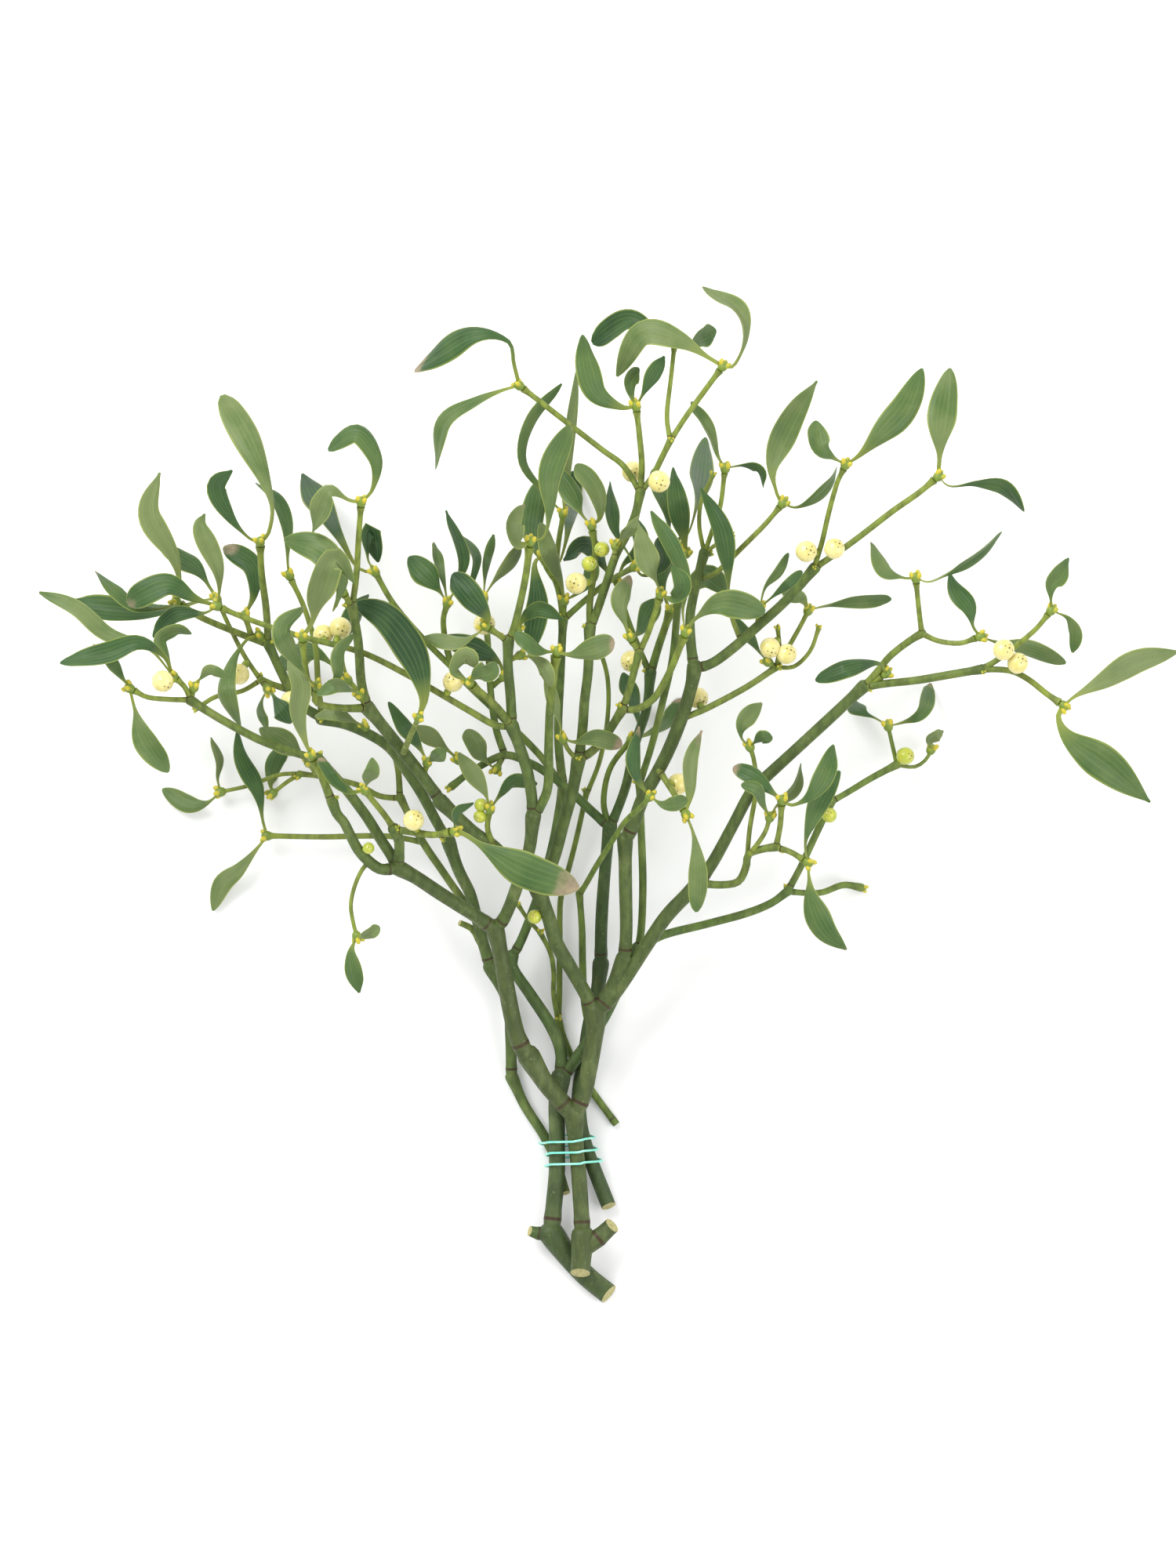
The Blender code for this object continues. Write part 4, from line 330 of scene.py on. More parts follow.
            (9.5, 72)], (5.5, 9.5), (3.0, 2.8)),
        "v2": ([(5, 47.5), (3, 58), (2.4, 72), (2.2, 85), (1.2, 99)], (8.2, 24), (1.6, 1.3)),
        "v2t": ([(1.2, 98.4), (4, 103), (8, 110), (15, 121), (19, 127), (25, 132.5), (28, 136)], (24, 76),
            (1.2, 1.0)),
        "r3": ([(9.5, 71), (9.6, 85), (10.4, 100), (12, 118), (13, 125)], (9.5, 24), (2.6, 2.4)),
        "q": ([(13, 124), (19, 140), (22.5, 156), (27, 170), (28.5, 184)], (24, 40), (1.9, 2.0)),
        "q2": ([(28.5, 183), (31, 192), (34, 201), (36, 207)], (40, 46), (1.7, 1.5)),
        "q3": ([(28.5, 183), (24, 193), (19, 206), (16, 218)], (40, 47), (1.4, 1.2)),
        "n1": ([(13, 124), (5.4, 131), (-2.8, 138.7), (-11, 145), (-18.6, 149.4), (-28, 152), (-40, 146),
            (-48, 140)], (24, 36), (1.9, 1.4)),
        "n1u": ([(-27.4, 151.8), (-31, 163), (-33, 178), (-34, 196), (-35.5, 212)], (31.5, 46), (1.5, 1.2)),
        "t1": ([(13, 124), (10.5, 134), (13, 147), (21, 158)], (24, 31), (1.3, 1.1)),
        "n1v": ([(-33, 178), (-28, 182)], (36, 41), (1.2, 1.0)),
        "n1x": ([(-40, 146), (-45, 150)], (34.5, 37), (1.1, 1.0)),
        "n1w": ([(-28, 152), (-30.5, 147)], (31.5, 35), (1.2, 1.0)),
    },
    "stem_thin_left": {
        # Thin left stem, passing behind the left one.
        "d_trunk": ([(-4, -17), (-8.5, -3), (-13, 6), (-20, 17), (-25, 28)], (3.9, 3.9), (1.8, 2.2)),
        "d2": ([(-25, 27), (-25.4, 45), (-26.5, 57), (-33.3, 70.7)], (3.9, 12), (2.2, 2.4)),
        "d3": ([(-33, 70), (-36, 80), (-38.5, 90), (-41, 99), (-45.4, 108), (-49.2, 119)], (12, 28),
            (2.3, 2.4)),
        "d_stub": ([(-36.5, 79), (-40, 85), (-45, 87.5)], (15, 15), (1.5, 1.2)),
        "m2": ([(-49, 118), (-54, 127), (-59.3, 137), (-65.6, 146.6), (-73, 156), (-86, 163), (-98, 166)],
            (28, 48), (2.2, 2.0)),
        "m2n": ([(-97.5, 166), (-107, 173), (-113, 184), (-118, 195)], (48, 60), (1.9, 1.8)),
        "m2a": ([(-117.8, 194.4), (-130, 199), (-143, 204.5), (-151, 209.5)], (60, 74), (1.4, 1.3)),
        "m2b": ([(-117.8, 194.4), (-118.5, 208), (-120, 221), (-120.4, 231.5)], (60, 84), (1.5, 1.3)),
        "m2c": ([(-109.5, 177), (-116, 179), (-121, 181)], (52, 55), (1.3, 1.3)),
        "m2cu": ([(-120.8, 180.8), (-127, 190), (-133, 202), (-136.6, 210)], (55, 66), (1.0, 0.9)),
        "m2cl": ([(-120.8, 180.8), (-128, 176.6), (-138, 174.4), (-145, 170)], (55, 58), (1.0, 0.9)),
        "m2e": ([(-117.8, 194.4), (-121, 197.5)], (60, 62.5), (1.2, 1.0)),
        "m2ce": ([(-120.8, 180.8), (-118.3, 177.5)], (55, 57.5), (1.1, 1.0)),
        "m2f": ([(-124, 196.8), (-126.5, 205)], (63.5, 69), (1.2, 1.0)),
        "m2g": ([(-79, 159), (-81, 162.5)], (42, 44), (1.1, 1.0)),
        "m2d": ([(-97.5, 166), (-99, 180), (-100, 194), (-104, 208), (-109, 219)], (48, 56), (1.3, 1.0)),
        "g": ([(-38, 89), (-45, 98), (-52, 108), (-60, 120), (-68, 136)], (17, 12), (1.6, 1.5)),
        "gl": ([(-68, 135.5), (-76, 136.4), (-84, 140.5), (-96, 143.5), (-107, 145)], (12, 10), (1.2, 1.1)),
        "gl3": ([(-100, 144), (-103, 149)], (10.5, 18), (1.0, 0.9)),
        "gl1": ([(-106.5, 145), (-112, 141.5), (-117, 137.5)], (10, 8), (0.9, 0.8)),
        "gl2": ([(-106.5, 145), (-115, 144.5), (-126, 140.5), (-137, 138)], (10, 6), (0.9, 0.8)),
        "gu": ([(-68, 135.5), (-69, 148), (-73, 160), (-80, 172), (-88, 181)], (12, 20), (1.3, 1.0)),
        "h1": ([(-59, 118.5), (-70, 120.6), (-80, 121), (-98, 120.6), (-119, 121)], (12.5, 9), (1.2, 1.1)),
    },
    "stem_thin_back": {
        # Very thin stem, cut at the right and rising up the middle.
        "e": ([(15.5, 9.5), (11, 15.5), (7, 21), (1, 30), (-2, 36), (-5, 43), (-7, 50)], (1.9, 3.0),
            (1.5, 1.4)),
        "v1": ([(-7, 49.5), (-6.6, 60), (-6.4, 80), (-6, 97), (-2.5, 110), (0.5, 122), (4, 138)], (3.0, 12),
            (1.25, 1.1)),
        "v1b": ([(4, 137), (9, 150), (12, 166), (12, 182), (8, 196)], (12, 20), (1.0, 0.9)),
        "v3": ([(-7, 49.5), (-8.8, 60), (-8.7, 68), (-10, 76), (-14, 84)], (3.0, 24), (1.0, 1.0)),
        "v3t": ([(-13.8, 83.5), (-19, 89.5), (-22, 94)], (24, 30), (0.9, 0.8)),
    },
}
SHOOTS = {
    name: (stem, *shoot) for stem, shoots in GROWTH.items() for name, shoot in shoots.items()
}

# Leaves, two at most twig tips: shoot: (name, leaves), and each leaf is its width, its roll about its own
# midrib in degrees, and its path from the bud as X, Y and height above the bud.
LEAVES = {
    # left side, front
    "l1a2": ("left_1", [(8, 25, [(-103, 157, 3), (-106, 168, 7), (-105, 179, 8), (-109.5, 188, 4)])]),
    "l1b3": ("left_2", [(9, 10, [(-168, 170, 1), (-164, 158, 2), (-155, 145.5, -2)]), (7, 50,
        [(-172, 181, 2), (-176, 188, 4), (-183.5, 194, 5)])]),
    "l1b4": ("left_3", [(8, 15, [(-157, 190, 6), (-166, 194.5, 10), (-178, 190.5, 6), (-196, 187, 2)]),
        (7, 30, [(-163, 193, 2), (-178, 198, -2), (-190, 208, -4), (-204.5, 214, -8)]), (6.5, 40,
        [(-155.5, 190, -3), (-158, 196, -4), (-152, 199.5, -5), (-146.5, 198, -8)])]),
    "l1cr": ("front_large", [(13, 8, [(-42, 121.5, 4), (-32, 115, 9), (-18, 107.5, 12), (1, 101.5, 8)]),
        (5, 40, [(-46, 127, 4), (-44, 131, 8), (-39, 134, 10)])]),
    "l1cl": ("left_4", [(6, 20, [(-79, 143, 3), (-77.5, 147, 5), (-77.5, 151, 6)]), (7, 55, [(-86, 138, 2),
        (-92, 142, 2), (-97.5, 151, -6)])]),
    "h2": ("left_hanging", [(6.5, 10, [(-86, 77, 0), (-85, 70, 0), (-83, 61, -4)]), (5, 30, [(-81, 83, 3),
        (-75, 86.5, 2)])]),
    "l2a1u": ("middle_1", [(9, 40, [(-22, 232, 5), (-24.5, 240, 9), (-19.5, 247, 5)]), (9.5, 15,
        [(-12, 235, 3), (-10, 245, 8), (-9.5, 260, 12), (-2, 277, 6)])]),
    "l2a1l": ("middle_2", [(9.5, 10, [(-34, 204.5, 3), (-40, 212, 6), (-47, 221, 2)]), (7, 35,
        [(-38, 198, -2), (-46, 195, -6), (-58, 197, -12)])]),
    "l2a2": ("middle_3", [(7, 30, [(-46, 184, 3), (-42, 189.5, 6), (-38, 185, 4)]), (8, 15, [(-37, 183, 5),
        (-33, 184, 8), (-31, 187.5, 9)])]),
    "l2b": ("middle_4", [(9, 15, [(-2, 190.3, 3), (6, 192, 5), (14.5, 195.5, 2)]), (7, 35, [(-13, 191.5, 3),
        (-18, 194.5, 4), (-23.5, 198.5, 1)])]),
    "n3": ("left_5", [(10, 20, [(-146, 212, 2), (-155, 217, 4), (-165, 213.5, 2), (-171, 209.5, -3)]),
        (8, 25, [(-136, 215, 3), (-137, 224, 6), (-143, 238, 6), (-141.5, 244, 2)]), (6.5, 20,
        [(-142, 206, 1), (-153, 205, 2), (-161.5, 197, -2)])]),
    # right side, front
    "r1r2": ("right_1", [(9, 15, [(190, 174.5, 2), (200, 180, 4), (213, 187.5, 2), (229.5, 191.5, -6)]),
        (13, 5, [(183.5, 166, 2), (188, 158, 4), (202, 148, 0), (219, 134, -12)])]),
    "r1r3": ("right_2", [(7, 20, [(180.5, 211, 3), (180.5, 217, 5), (184, 221, 3), (187.5, 227, 0)]),
        (6, 35, [(187, 204, 1), (190, 198, -2), (189, 191, -7)])]),
    "r1v": ("right_3", [(7, 20, [(115, 187, 6), (104, 185.5, 9), (91, 180.5, 3)])]),
    "r1u1": ("right_4", [(7, 30, [(124, 219.6, 2), (117, 223, 4), (112, 233, 2)]), (7, 60, [(135, 218, 2),
        (145, 223, 3), (154, 229, 4), (162, 237, 0)])]),
    "r1u2": ("right_5", [(7.5, 20, [(151, 201, 3), (149.5, 208, 5), (145, 214, 4), (142, 222, 0)]), (7, 25,
        [(162, 194.5, -6), (173, 192.5, -10), (187, 187, -16)])]),
    "r6u": ("right_6", [(7, 15, [(74, 138.5, 3), (68, 144, 4), (60, 147.5, 0)]), (8, 15, [(83, 133, 2),
        (90, 137, 4), (95.5, 146, 3), (98.5, 156, -3)])]),
    "r6r": ("right_7", [(8.5, 15, [(87.5, 117, 4), (89, 125, 8), (94, 137, 7), (101, 146, 0)]), (9.5, 10,
        [(89, 105, 2), (90, 96, 3), (95, 85, 0), (103.5, 77.5, -6)])]),
    "r6l": ("right_8", [(7, 20, [(63, 159, 3), (64, 165, 5), (71, 172, 2)]), (6, 35, [(70, 158, 1),
        (75, 158.5, -1)])]),
    "r2n": ("right_9", [(7, 10, [(45, 121, 3), (46.5, 108, 4), (46, 92, -2)]), (6.5, 30, [(43.5, 138, 3),
        (43.5, 150, 4), (48, 161.5, 0)])]),
    "k1a": ("top_right_1", [(10.5, 10, [(138, 266, 4), (138.5, 278, 6), (142, 299, 0)]), (8, 50,
        [(142, 254, 2), (152, 255, 5), (162, 254, 2), (170, 244.5, -6)])]),
    "k1b": ("top_right_2", [(10.5, 10, [(108, 266, 2), (116, 274, 4), (125, 284, 2), (131.5, 299, -6)]),
        (8, 20, [(97, 265, 3), (92, 269, 5), (91, 279, 0)])]),
    "k2a": ("top_right_3", [(10, 15, [(76.5, 252, 2), (75, 263, 4), (82, 280, 1), (92, 295, -8)]), (7, 55,
        [(84, 246.5, 2), (91, 250, 4), (97, 256, 3), (99.5, 262, -1)])]),
    "k2b": ("top_1", [(6, 60, [(64, 262.5, 2), (70, 260.5, 2), (71.5, 254, -4)]), (6, 50, [(54, 266, 3),
        (51, 274, 5), (44, 287, 0)])]),
    "k3b": ("right_10", [(6.5, 40, [(95, 209, 2), (106, 211, 3), (120.5, 211.5, -3)]), (6.5, 20,
        [(86, 212, 3), (82, 213, 2), (80, 219, -4)])]),
    "p1a1": ("top_2", [(9, 15, [(17, 284, 3), (8, 289, 7), (4.5, 299, 8), (2.5, 311.5, 4)]), (7, 35,
        [(26, 290, 3), (30, 297, 4), (33.5, 303.5, 0)]), (6.5, 30, [(21, 288, 0), (20, 294, 0),
        (24, 299, -3)])]),
    "p1a2r": ("top_3", [(8, 55, [(60, 300, 2), (64, 310, 5), (61, 321, 3), (48, 330, -5)]), (10, 20,
        [(50, 303, 3), (39, 309.5, 6), (25, 312, 5), (15.5, 296, -6)])]),
    "p1a2l": ("top_4", [(9, 20, [(31, 311, 2), (20, 317, 2), (6, 309, -6)]), (8, 30, [(43, 307, 0),
        (47, 311, -2), (53.5, 314, -8)])]),
    "p1a3": ("top_left", [(10, 30, [(-23.5, 300, 4), (-26, 309, 8), (-40, 311, 8), (-61.5, 298, -8)]),
        (8, 45, [(-29, 290, 1), (-38, 286, 1), (-50, 278, -3), (-53.5, 260.5, -12)])]),
    "p1b": ("middle_5", [(8, 30, [(9, 243, 3), (7.5, 252, 5), (0, 263, 2)]), (8, 20, [(2, 244, 1),
        (-2, 252, -2), (-8, 262, -8)])]),
    "p2a": ("middle_right_1", [(10, 10, [(46, 204.5, 4), (56, 210, 7), (72, 206.5, 2)]), (7, 25,
        [(40.5, 207, 4), (41, 219, 7), (36, 231, 8), (28.5, 245, 4)])]),
    "p2b1": ("middle_right_2", [(9, 15, [(30.5, 218, 4), (27, 227, 7), (23.5, 240.5, 3)]), (7, 20,
        [(37, 211.5, 2), (40, 217, 3), (36.5, 224, 2)])]),
    "p2b2": ("middle_right_3", [(8, 25, [(19, 201, 2), (17, 210, 4), (20.5, 220.5, 2)]), (8, 20,
        [(24, 199, -5), (27, 205, -9), (31, 212, -14)])]),
    "m1c1": ("left_6", [(8, 25, [(-77, 253, 3), (-75.5, 264, 7), (-83, 274, 8), (-94, 267.5, 2)]), (9, 20,
        [(-86, 248.5, 2), (-93, 252, 4), (-96, 247, 2), (-100, 236.5, -6)])]),
    "m1c2": ("left_7", [(11, 20, [(-92, 207, 3), (-89, 218, 6), (-97, 230, 5), (-111, 234, -4)])]),
    "m1d": ("left_8", [(7, 50, [(-95, 178, 3), (-90.5, 182, 6), (-90, 191, 8), (-84.5, 198, 6)]), (8, 30,
        [(-101.5, 181, 3), (-107, 190, 4), (-111, 200, 2), (-103, 208, -2)])]),
    "m1e": ("left_9", [(10.5, 20, [(-100, 203, 4), (-98, 213, 8), (-91.5, 227, 10), (-84, 217, 8)])]),
    # left side, behind
    "m2a": ("left_10", [(9, 25, [(-151, 215, 2), (-153.5, 227, 5), (-163, 244, 5), (-159, 260, -2)]),
        (7, 40, [(-158, 208, 2), (-168, 208.5, 2), (-176, 215, 0), (-184, 222.5, -6)])]),
    "m2b": ("left_11", [(10.5, 15, [(-117, 237, 3), (-116, 249, 6), (-124, 270, 4), (-135, 289.5, -8)]),
        (8, 30, [(-125, 235, 2), (-132, 243, 4), (-137, 254, 5), (-131, 260.5, 2)])]),
    "m2cu": ("left_12", [(10, 20, [(-143, 211, -1), (-158, 207, -4), (-175, 207, -10), (-196, 210, -18)]),
        (8, 30, [(-140, 216, -2), (-146, 224, -5), (-160, 232.5, -14)])]),
    "m2d": ("left_13", [(7, 40, [(-110.5, 226, 2), (-111, 240, 3), (-115, 250, 2), (-123, 256.5, -5)])]),
    "gl1": ("left_low_1", [(7, 25, [(-118, 142, 0), (-116, 150, -2), (-111, 157, -4)])]),
    "gl2": ("left_low_2", [(7, 15, [(-143, 133.5, 0), (-150, 133.5, -1), (-160, 139, -4)]), (6, 60,
        [(-138.5, 143, 1), (-138, 150, 1), (-141, 159, -2)])]),
    "gu": ("left_low_3", [(9, 15, [(-93, 186, 1), (-103, 192, 1), (-116, 186, -20)]), (8, 25,
        [(-90, 190, 0), (-88, 202, -2), (-80, 214, -20)])]),
    "h1": ("left_low_4", [(7, 20, [(-122.5, 117, 0), (-130, 108, -2), (-137, 102, -4), (-140.5, 92, -7)]),
        (7, 25, [(-121, 127, 1), (-123, 139, 2), (-129, 151, 1), (-131, 162, -4)])]),
    # middle and right, behind
    "f3a": ("back_1", [(9.5, 15, [(-53, 216, 2), (-58, 222, 2), (-64.5, 228, -4)]), (7, 50, [(-46, 217, 2),
        (-44, 228, 3), (-50, 246, -6)]), (4.5, 30, [(-50.5, 217, 0), (-53, 225, -2), (-54.7, 234, -8)])]),
    "f3b": ("back_2", [(8, 30, [(-80, 228, 1), (-79, 238, 1), (-76, 226, -4)]), (10, 15, [(-84, 224, 1),
        (-92, 238, 0), (-106, 261, -50)])]),
    "f4a": ("back_3", [(9, 20, [(-13, 226, 1), (-17, 238, 2), (-14, 258, -6)]), (8, 20, [(-6, 227, 1),
        (-3, 240, 1), (-1, 262, -50)])]),
    "f4b": ("back_4", [(7, 40, [(20, 229, 1), (14, 240, 1), (13, 257, -8)]), (7, 40, [(26, 221, 0),
        (33, 226, -2), (32, 236, -8)])]),
    "v4b": ("back_5", [(9, 15, [(43, 237, 1), (46, 248, 1), (50, 275, -60)]), (8, 25, [(36, 237, 1),
        (34, 248, 1), (30, 262, -10)])]),
    "r5v1": ("right_low_1", [(6.5, 25, [(116, 166, 1), (110, 169, 1), (105.5, 173, -14)]), (6.5, 20,
        [(126, 165, 1), (133, 169, 2), (137, 180, -14)])]),
    "r5v2": ("right_low_2", [(5, 30, [(136.5, 158, 1), (141.5, 161.5, -4)])]),
    "q2": ("back_6", [(9, 20, [(41, 214, 0), (50, 221, -4), (58, 214, -12)]), (8, 20, [(34, 213, 0),
        (33, 224, -3), (40, 236, -10)])]),
    "q3": ("back_7", [(8, 25, [(13, 221, 0), (4, 232, -3), (-5, 227, -12)]), (7, 25, [(18, 225, 0),
        (24, 232, -3), (23, 243, -12)])]),
    "n1u": ("back_8", [(7, 60, [(-40, 217, 1), (-39, 228, 1), (-46, 238, -8)]), (7, 45, [(-32, 218, 1),
        (-26, 225, 0), (-21, 232, -6)]), (4, 30, [(-35, 220, 0), (-34, 227, -1), (-31.8, 237, -6)])]),
    "v2t": ("front_bright", [(6, 30, [(24, 142, 2), (22, 150, 3), (24, 163, 0)]), (6, 20, [(34, 133, 1),
        (42.5, 135, -4)])]),
    "t1": ("back_9", [(7, 25, [(24, 163, 0), (22, 172, -2), (18, 184, -10)]), (6, 30, [(27, 160, 0),
        (35, 165, -2), (41, 174, -8)])]),
    # single leaves and pairs on short spurs
    "m1f": ("spur_1", [(12, 10, [(-58, 175, 4), (-62, 190, 7), (-72, 204, 7), (-84, 210, 3)])]),
    "m1g": ("spur_2", [(6.5, 30, [(-60, 155, 2), (-66, 163, 4), (-72, 172.5, 2)]), (6, 20, [(-54, 151, 2),
        (-49.5, 154, 1)])]),
    "m1h": ("spur_3", [(5.5, 20, [(-86, 177, 2), (-91, 178.5, 3), (-98.5, 175, 1)])]),
    "l2a3": ("spur_4", [(6.5, 25, [(-19, 205, 2), (-13.5, 208, 3), (-5, 203.5, 0)])]),
    "l2a4": ("spur_5", [(6, 30, [(-17, 189, 1), (-12.5, 185, 1), (-9.5, 178, -3)])]),
    "l1b5": ("spur_6", [(4.5, 20, [(-143, 181, 1), (-139, 184, 2), (-131.5, 181.5, 0)])]),
    "p1c": ("spur_7", [(5.5, 40, [(17.5, 234.5, 2), (20.5, 237.5, 3), (24, 243, 1)])]),
    "k1c": ("spur_8", [(4, 30, [(72, 216, 2), (77, 222, 3), (81, 229, 1)]), (4, 20, [(75, 212.5, 1),
        (80.5, 217, 1), (86, 222, -2)])]),
    "k1d": ("spur_9", [(8, 20, [(57.5, 222, 1), (55, 238, 1), (47.5, 254, -3)])]),
    "k3d": ("spur_10", [(5, 30, [(69.5, 192, 1), (65, 198, 2), (60.5, 205, 0)])]),
    "r6d": ("spur_11", [(6, 40, [(77, 133, 2), (84, 140, 3), (86, 149, 1)]), (5, 20, [(71.5, 133, 1),
        (69, 139, 1), (63, 141, -2)])]),
    "m1i": ("spur_12", [(7, 20, [(-35, 138, 2), (-40, 145, 3), (-45, 153, 0)]), (6, 30, [(-29, 137, 2),
        (-24, 142, 2), (-15, 141, -3)])]),
    "p3": ("spur_21", [(5.5, 30, [(-6.5, 165, 3), (-9, 173, 5), (-11.5, 184, 3)]), (7, 20, [(0, 157, 2),
        (8, 159, 4), (17.5, 155.5, 1)])]),
    "f4c": ("spur_13", [(9, 15, [(-16, 225, 2), (-15, 210, 3), (-18, 190, 0)])]),
    "f4d": ("spur_14", [(5, 30, [(-4, 253, 3), (-2.5, 275, 6), (0.5, 301, 3)]), (5.5, 40, [(-10, 250, 2),
        (-20, 264, 5), (-17, 280, 6), (-5.5, 294, 3)])]),
    "f4e": ("spur_15", [(7.5, 30, [(-6, 219, 1), (-9.5, 228, 2), (-13.5, 241, -2)]), (6, 20, [(0, 214, 1),
        (5, 220, 1), (6, 229, -4)])]),
    "v4c": ("spur_16", [(8, 20, [(41, 236, 1), (38.5, 247, 1), (37, 262, -3)])]),
    "n1v": ("spur_17", [(8.5, 15, [(-30, 188, 1), (-39, 193, 1), (-53, 197, -2)])]),
    "n1w": ("spur_18", [(8, 25, [(-34, 149, 1), (-38.5, 155, 1), (-42, 162, -2)])]),
    "m2f": ("spur_22", [(8, 20, [(-123, 214, 1), (-124, 225, 1), (-135, 231.5, -2)])]),
    "gl3": ("spur_23", [(9, 15, [(-107, 153, 4), (-114, 158, 6), (-122, 162.5, 4)])]),
    "m2g": ("spur_24", [(5, 20, [(-85, 165, 2), (-92, 167.5, 3), (-100, 167, 1)])]),
    "n1x": ("spur_25", [(7, 15, [(-50, 154.5, 1), (-57, 159.5, 1), (-64.5, 163, -2)])]),
    "m2e": ("spur_19", [(8, 25, [(-126, 196, 1), (-131.5, 187, 1), (-133.5, 176, 0), (-128, 163, -4)])]),
    "m2ce": ("spur_20", [(8, 20, [(-116, 175, 1), (-113, 170, 1), (-109, 164, -1)]), (4.5, 40,
        [(-120.5, 173, 0), (-121, 168, 0), (-118.5, 161, -3)])]),
}

# Leaf pairs that grow into their stem's own body here, so that the bunch keeps to its count of bodies.
GROWN_ON = {
    "left_4", "left_hanging", "right_8", "right_10", "front_bright",
    "left_low_1", "left_low_2", "left_low_3", "left_low_4", "right_low_1", "right_low_2",
    "back_1", "back_2", "back_3", "back_4", "back_5", "back_6", "back_7", "back_8", "back_9",
    "spur_1", "spur_2", "spur_3", "spur_4", "spur_5", "spur_6", "spur_7", "spur_8", "spur_9", "spur_10",
    "spur_11", "spur_12", "spur_13", "spur_14", "spur_15", "spur_16", "spur_17", "spur_18", "spur_19",
    "spur_20", "spur_21", "spur_22", "spur_23", "spur_24", "spur_25",
}

# Ripe berries: each is X, Y, height and radius; the ones that touch are one body.
BERRIES = {
    "berry_left_1": [(-157, 180, 107, 4.2)],
    "berry_left_2": [(-129, 183, 63, 4.1)],
    "berries_left_3": [(-90, 200.5, 78, 4.3), (-96.5, 198, 76, 4.0)],
    "berry_left_4": [(-109, 172.5, 61, 4.2)],
    "berry_left_5": [(-62, 127.2, 83, 4.1)],
    "berry_middle_1": [(-47, 180, 84, 4.0)],
    "berry_middle_2": [(-35, 202, 84, 4.2)],
    "berry_middle_3": [(0, 217.5, 85, 4.2)],
    "berry_top_1": [(21.5, 260, 86, 4.2)],
    "berry_top_2": [(31.5, 256, 100.5, 4.3)],
    "berry_right_1": [(87.5, 229.5, 96.5, 4.2)],
    "berry_right_2": [(98.2, 230.5, 98.5, 4.0)],
    "berries_right_3": [(74, 193, 76.5, 4.0), (80.3, 190.6, 75.8, 4.0)],
    "berries_right_4": [(162.6, 192, 96.5, 4.2), (168, 187, 94, 4.1)],
    "berry_middle_4": [(39, 141, 54, 4.2)],
    "berry_middle_5": [(21, 188, 65, 4.2)],
    "berry_middle_6": [(46.5, 174, 56.5, 4.2)],
}


# ---------------------------------------------------------------- paths

def shoot_path(name):
    """The shoot's points in 3-D with their radii: height and radius change evenly along its length."""
    _, flat, heights, radii = SHOOTS[name]
    flat = [Vector((x, y)) for x, y in flat]
    steps = [0.0]
    for a, b in zip(flat, flat[1:]):
        steps.append(steps[-1] + (b - a).length)
    shares = [step / steps[-1] for step in steps]
    return [
        (
            Vector((p.x, p.y, heights[0] + (heights[1] - heights[0]) * share)),
            radii[0] + (radii[1] - radii[0]) * share,
        )
        for p, share in zip(flat, shares)
    ]


def bud_centre(shoot):
    """Where the bud sits at the shoot's tip, a little clear of its end unless the pair grows on it."""
    path = shoot_path(shoot)
    end = path[-1][0]
    along = (end - path[-2][0]).normalized()
    grown = LEAVES[shoot][0] in GROWN_ON
    return end + along * (0.2 * BUD_RADIUS if grown else BUD_RADIUS + TIP_GAP)


def smooth_path(points, count):
    """Evenly spread points on a Catmull-Rom curve through the given ones."""
    ends = [points[0] * 2 - points[1]] + points + [points[-1] * 2 - points[-2]]
    fine = []
    for a, b, c, d in zip(ends, ends[1:], ends[2:], ends[3:]):
        for step in range(12):
            t = step / 12
            fine.append(
                0.5 * (2 * b + (c - a) * t + (2 * a - 5 * b + 4 * c - d) * t**2
                       + (3 * b - a - 3 * c + d) * t**3)
            )
    fine.append(points[-1])
    lengths = np.cumsum([0.0] + [(b - a).length for a, b in zip(fine, fine[1:])])
    wanted = np.linspace(0, lengths[-1], count)
    columns = [np.interp(wanted, lengths, [p[axis] for p in fine]) for axis in range(3)]
    return [Vector(values) for values in zip(*columns)]


def leaf_path(shoot, leaf, lift, count):
    """The leaf's midrib from bud to apex, raised by lift at the apex and never under the surface."""
    _, _, via = leaf
    base = bud_centre(shoot)
    points = [base] + [Vector((x, y, base.z + rise)) for x, y, rise in via]
    path = smooth_path(points, count)
    for step, point in enumerate(path):
        point.z += lift * min(1.0, 1.6 * step / (count - 1))
        point.z = max(point.z, FLOOR_GAP)
    return path


def leaf_sides(path, roll):
    """At each point of a leaf, the unit vector across its blade: level, then rolled about the midrib."""
    sides = []
    for before, after in zip([path[0]] + path[:-1], path[1:] + [path[-1]]):
        along = (after - before).normalized()
        across = Vector((0, 0, 1)).cross(along).normalized()
        low = min(1.0, (path[len(sides)].z - FLOOR_GAP) / 4)
        across.rotate(Quaternion(along, math.radians(roll) * low))
        sides.append(across)
    return sides


def leaf_width(share):
    """The blade's width at a share of its length: a narrow foot, widest past the middle, a blunt point."""
    foot = 0.17 + 0.83 * math.sin(min(share / 0.56, 1.0) * math.pi / 2) ** 2
    apex = max(0.02, 1 - max(0.0, (share - 0.56) / 0.45) ** 2.3) ** 0.66
    return foot * apex


# ---------------------------------------------------------------- keeping leaves clear of each other

def stem_samples():
    """Points along every shoot, as rows of X, Y, height and radius."""
    rows = []
    for name in SHOOTS:
        path = shoot_path(name)
        for (a, ra), (b, rb) in zip(path, path[1:]):
            count = max(2, int((b - a).length / 2))
            for step in range(count + 1):
                share = step / count
                rows.append((*(a + (b - a) * share), ra + (rb - ra) * share))
    return rows


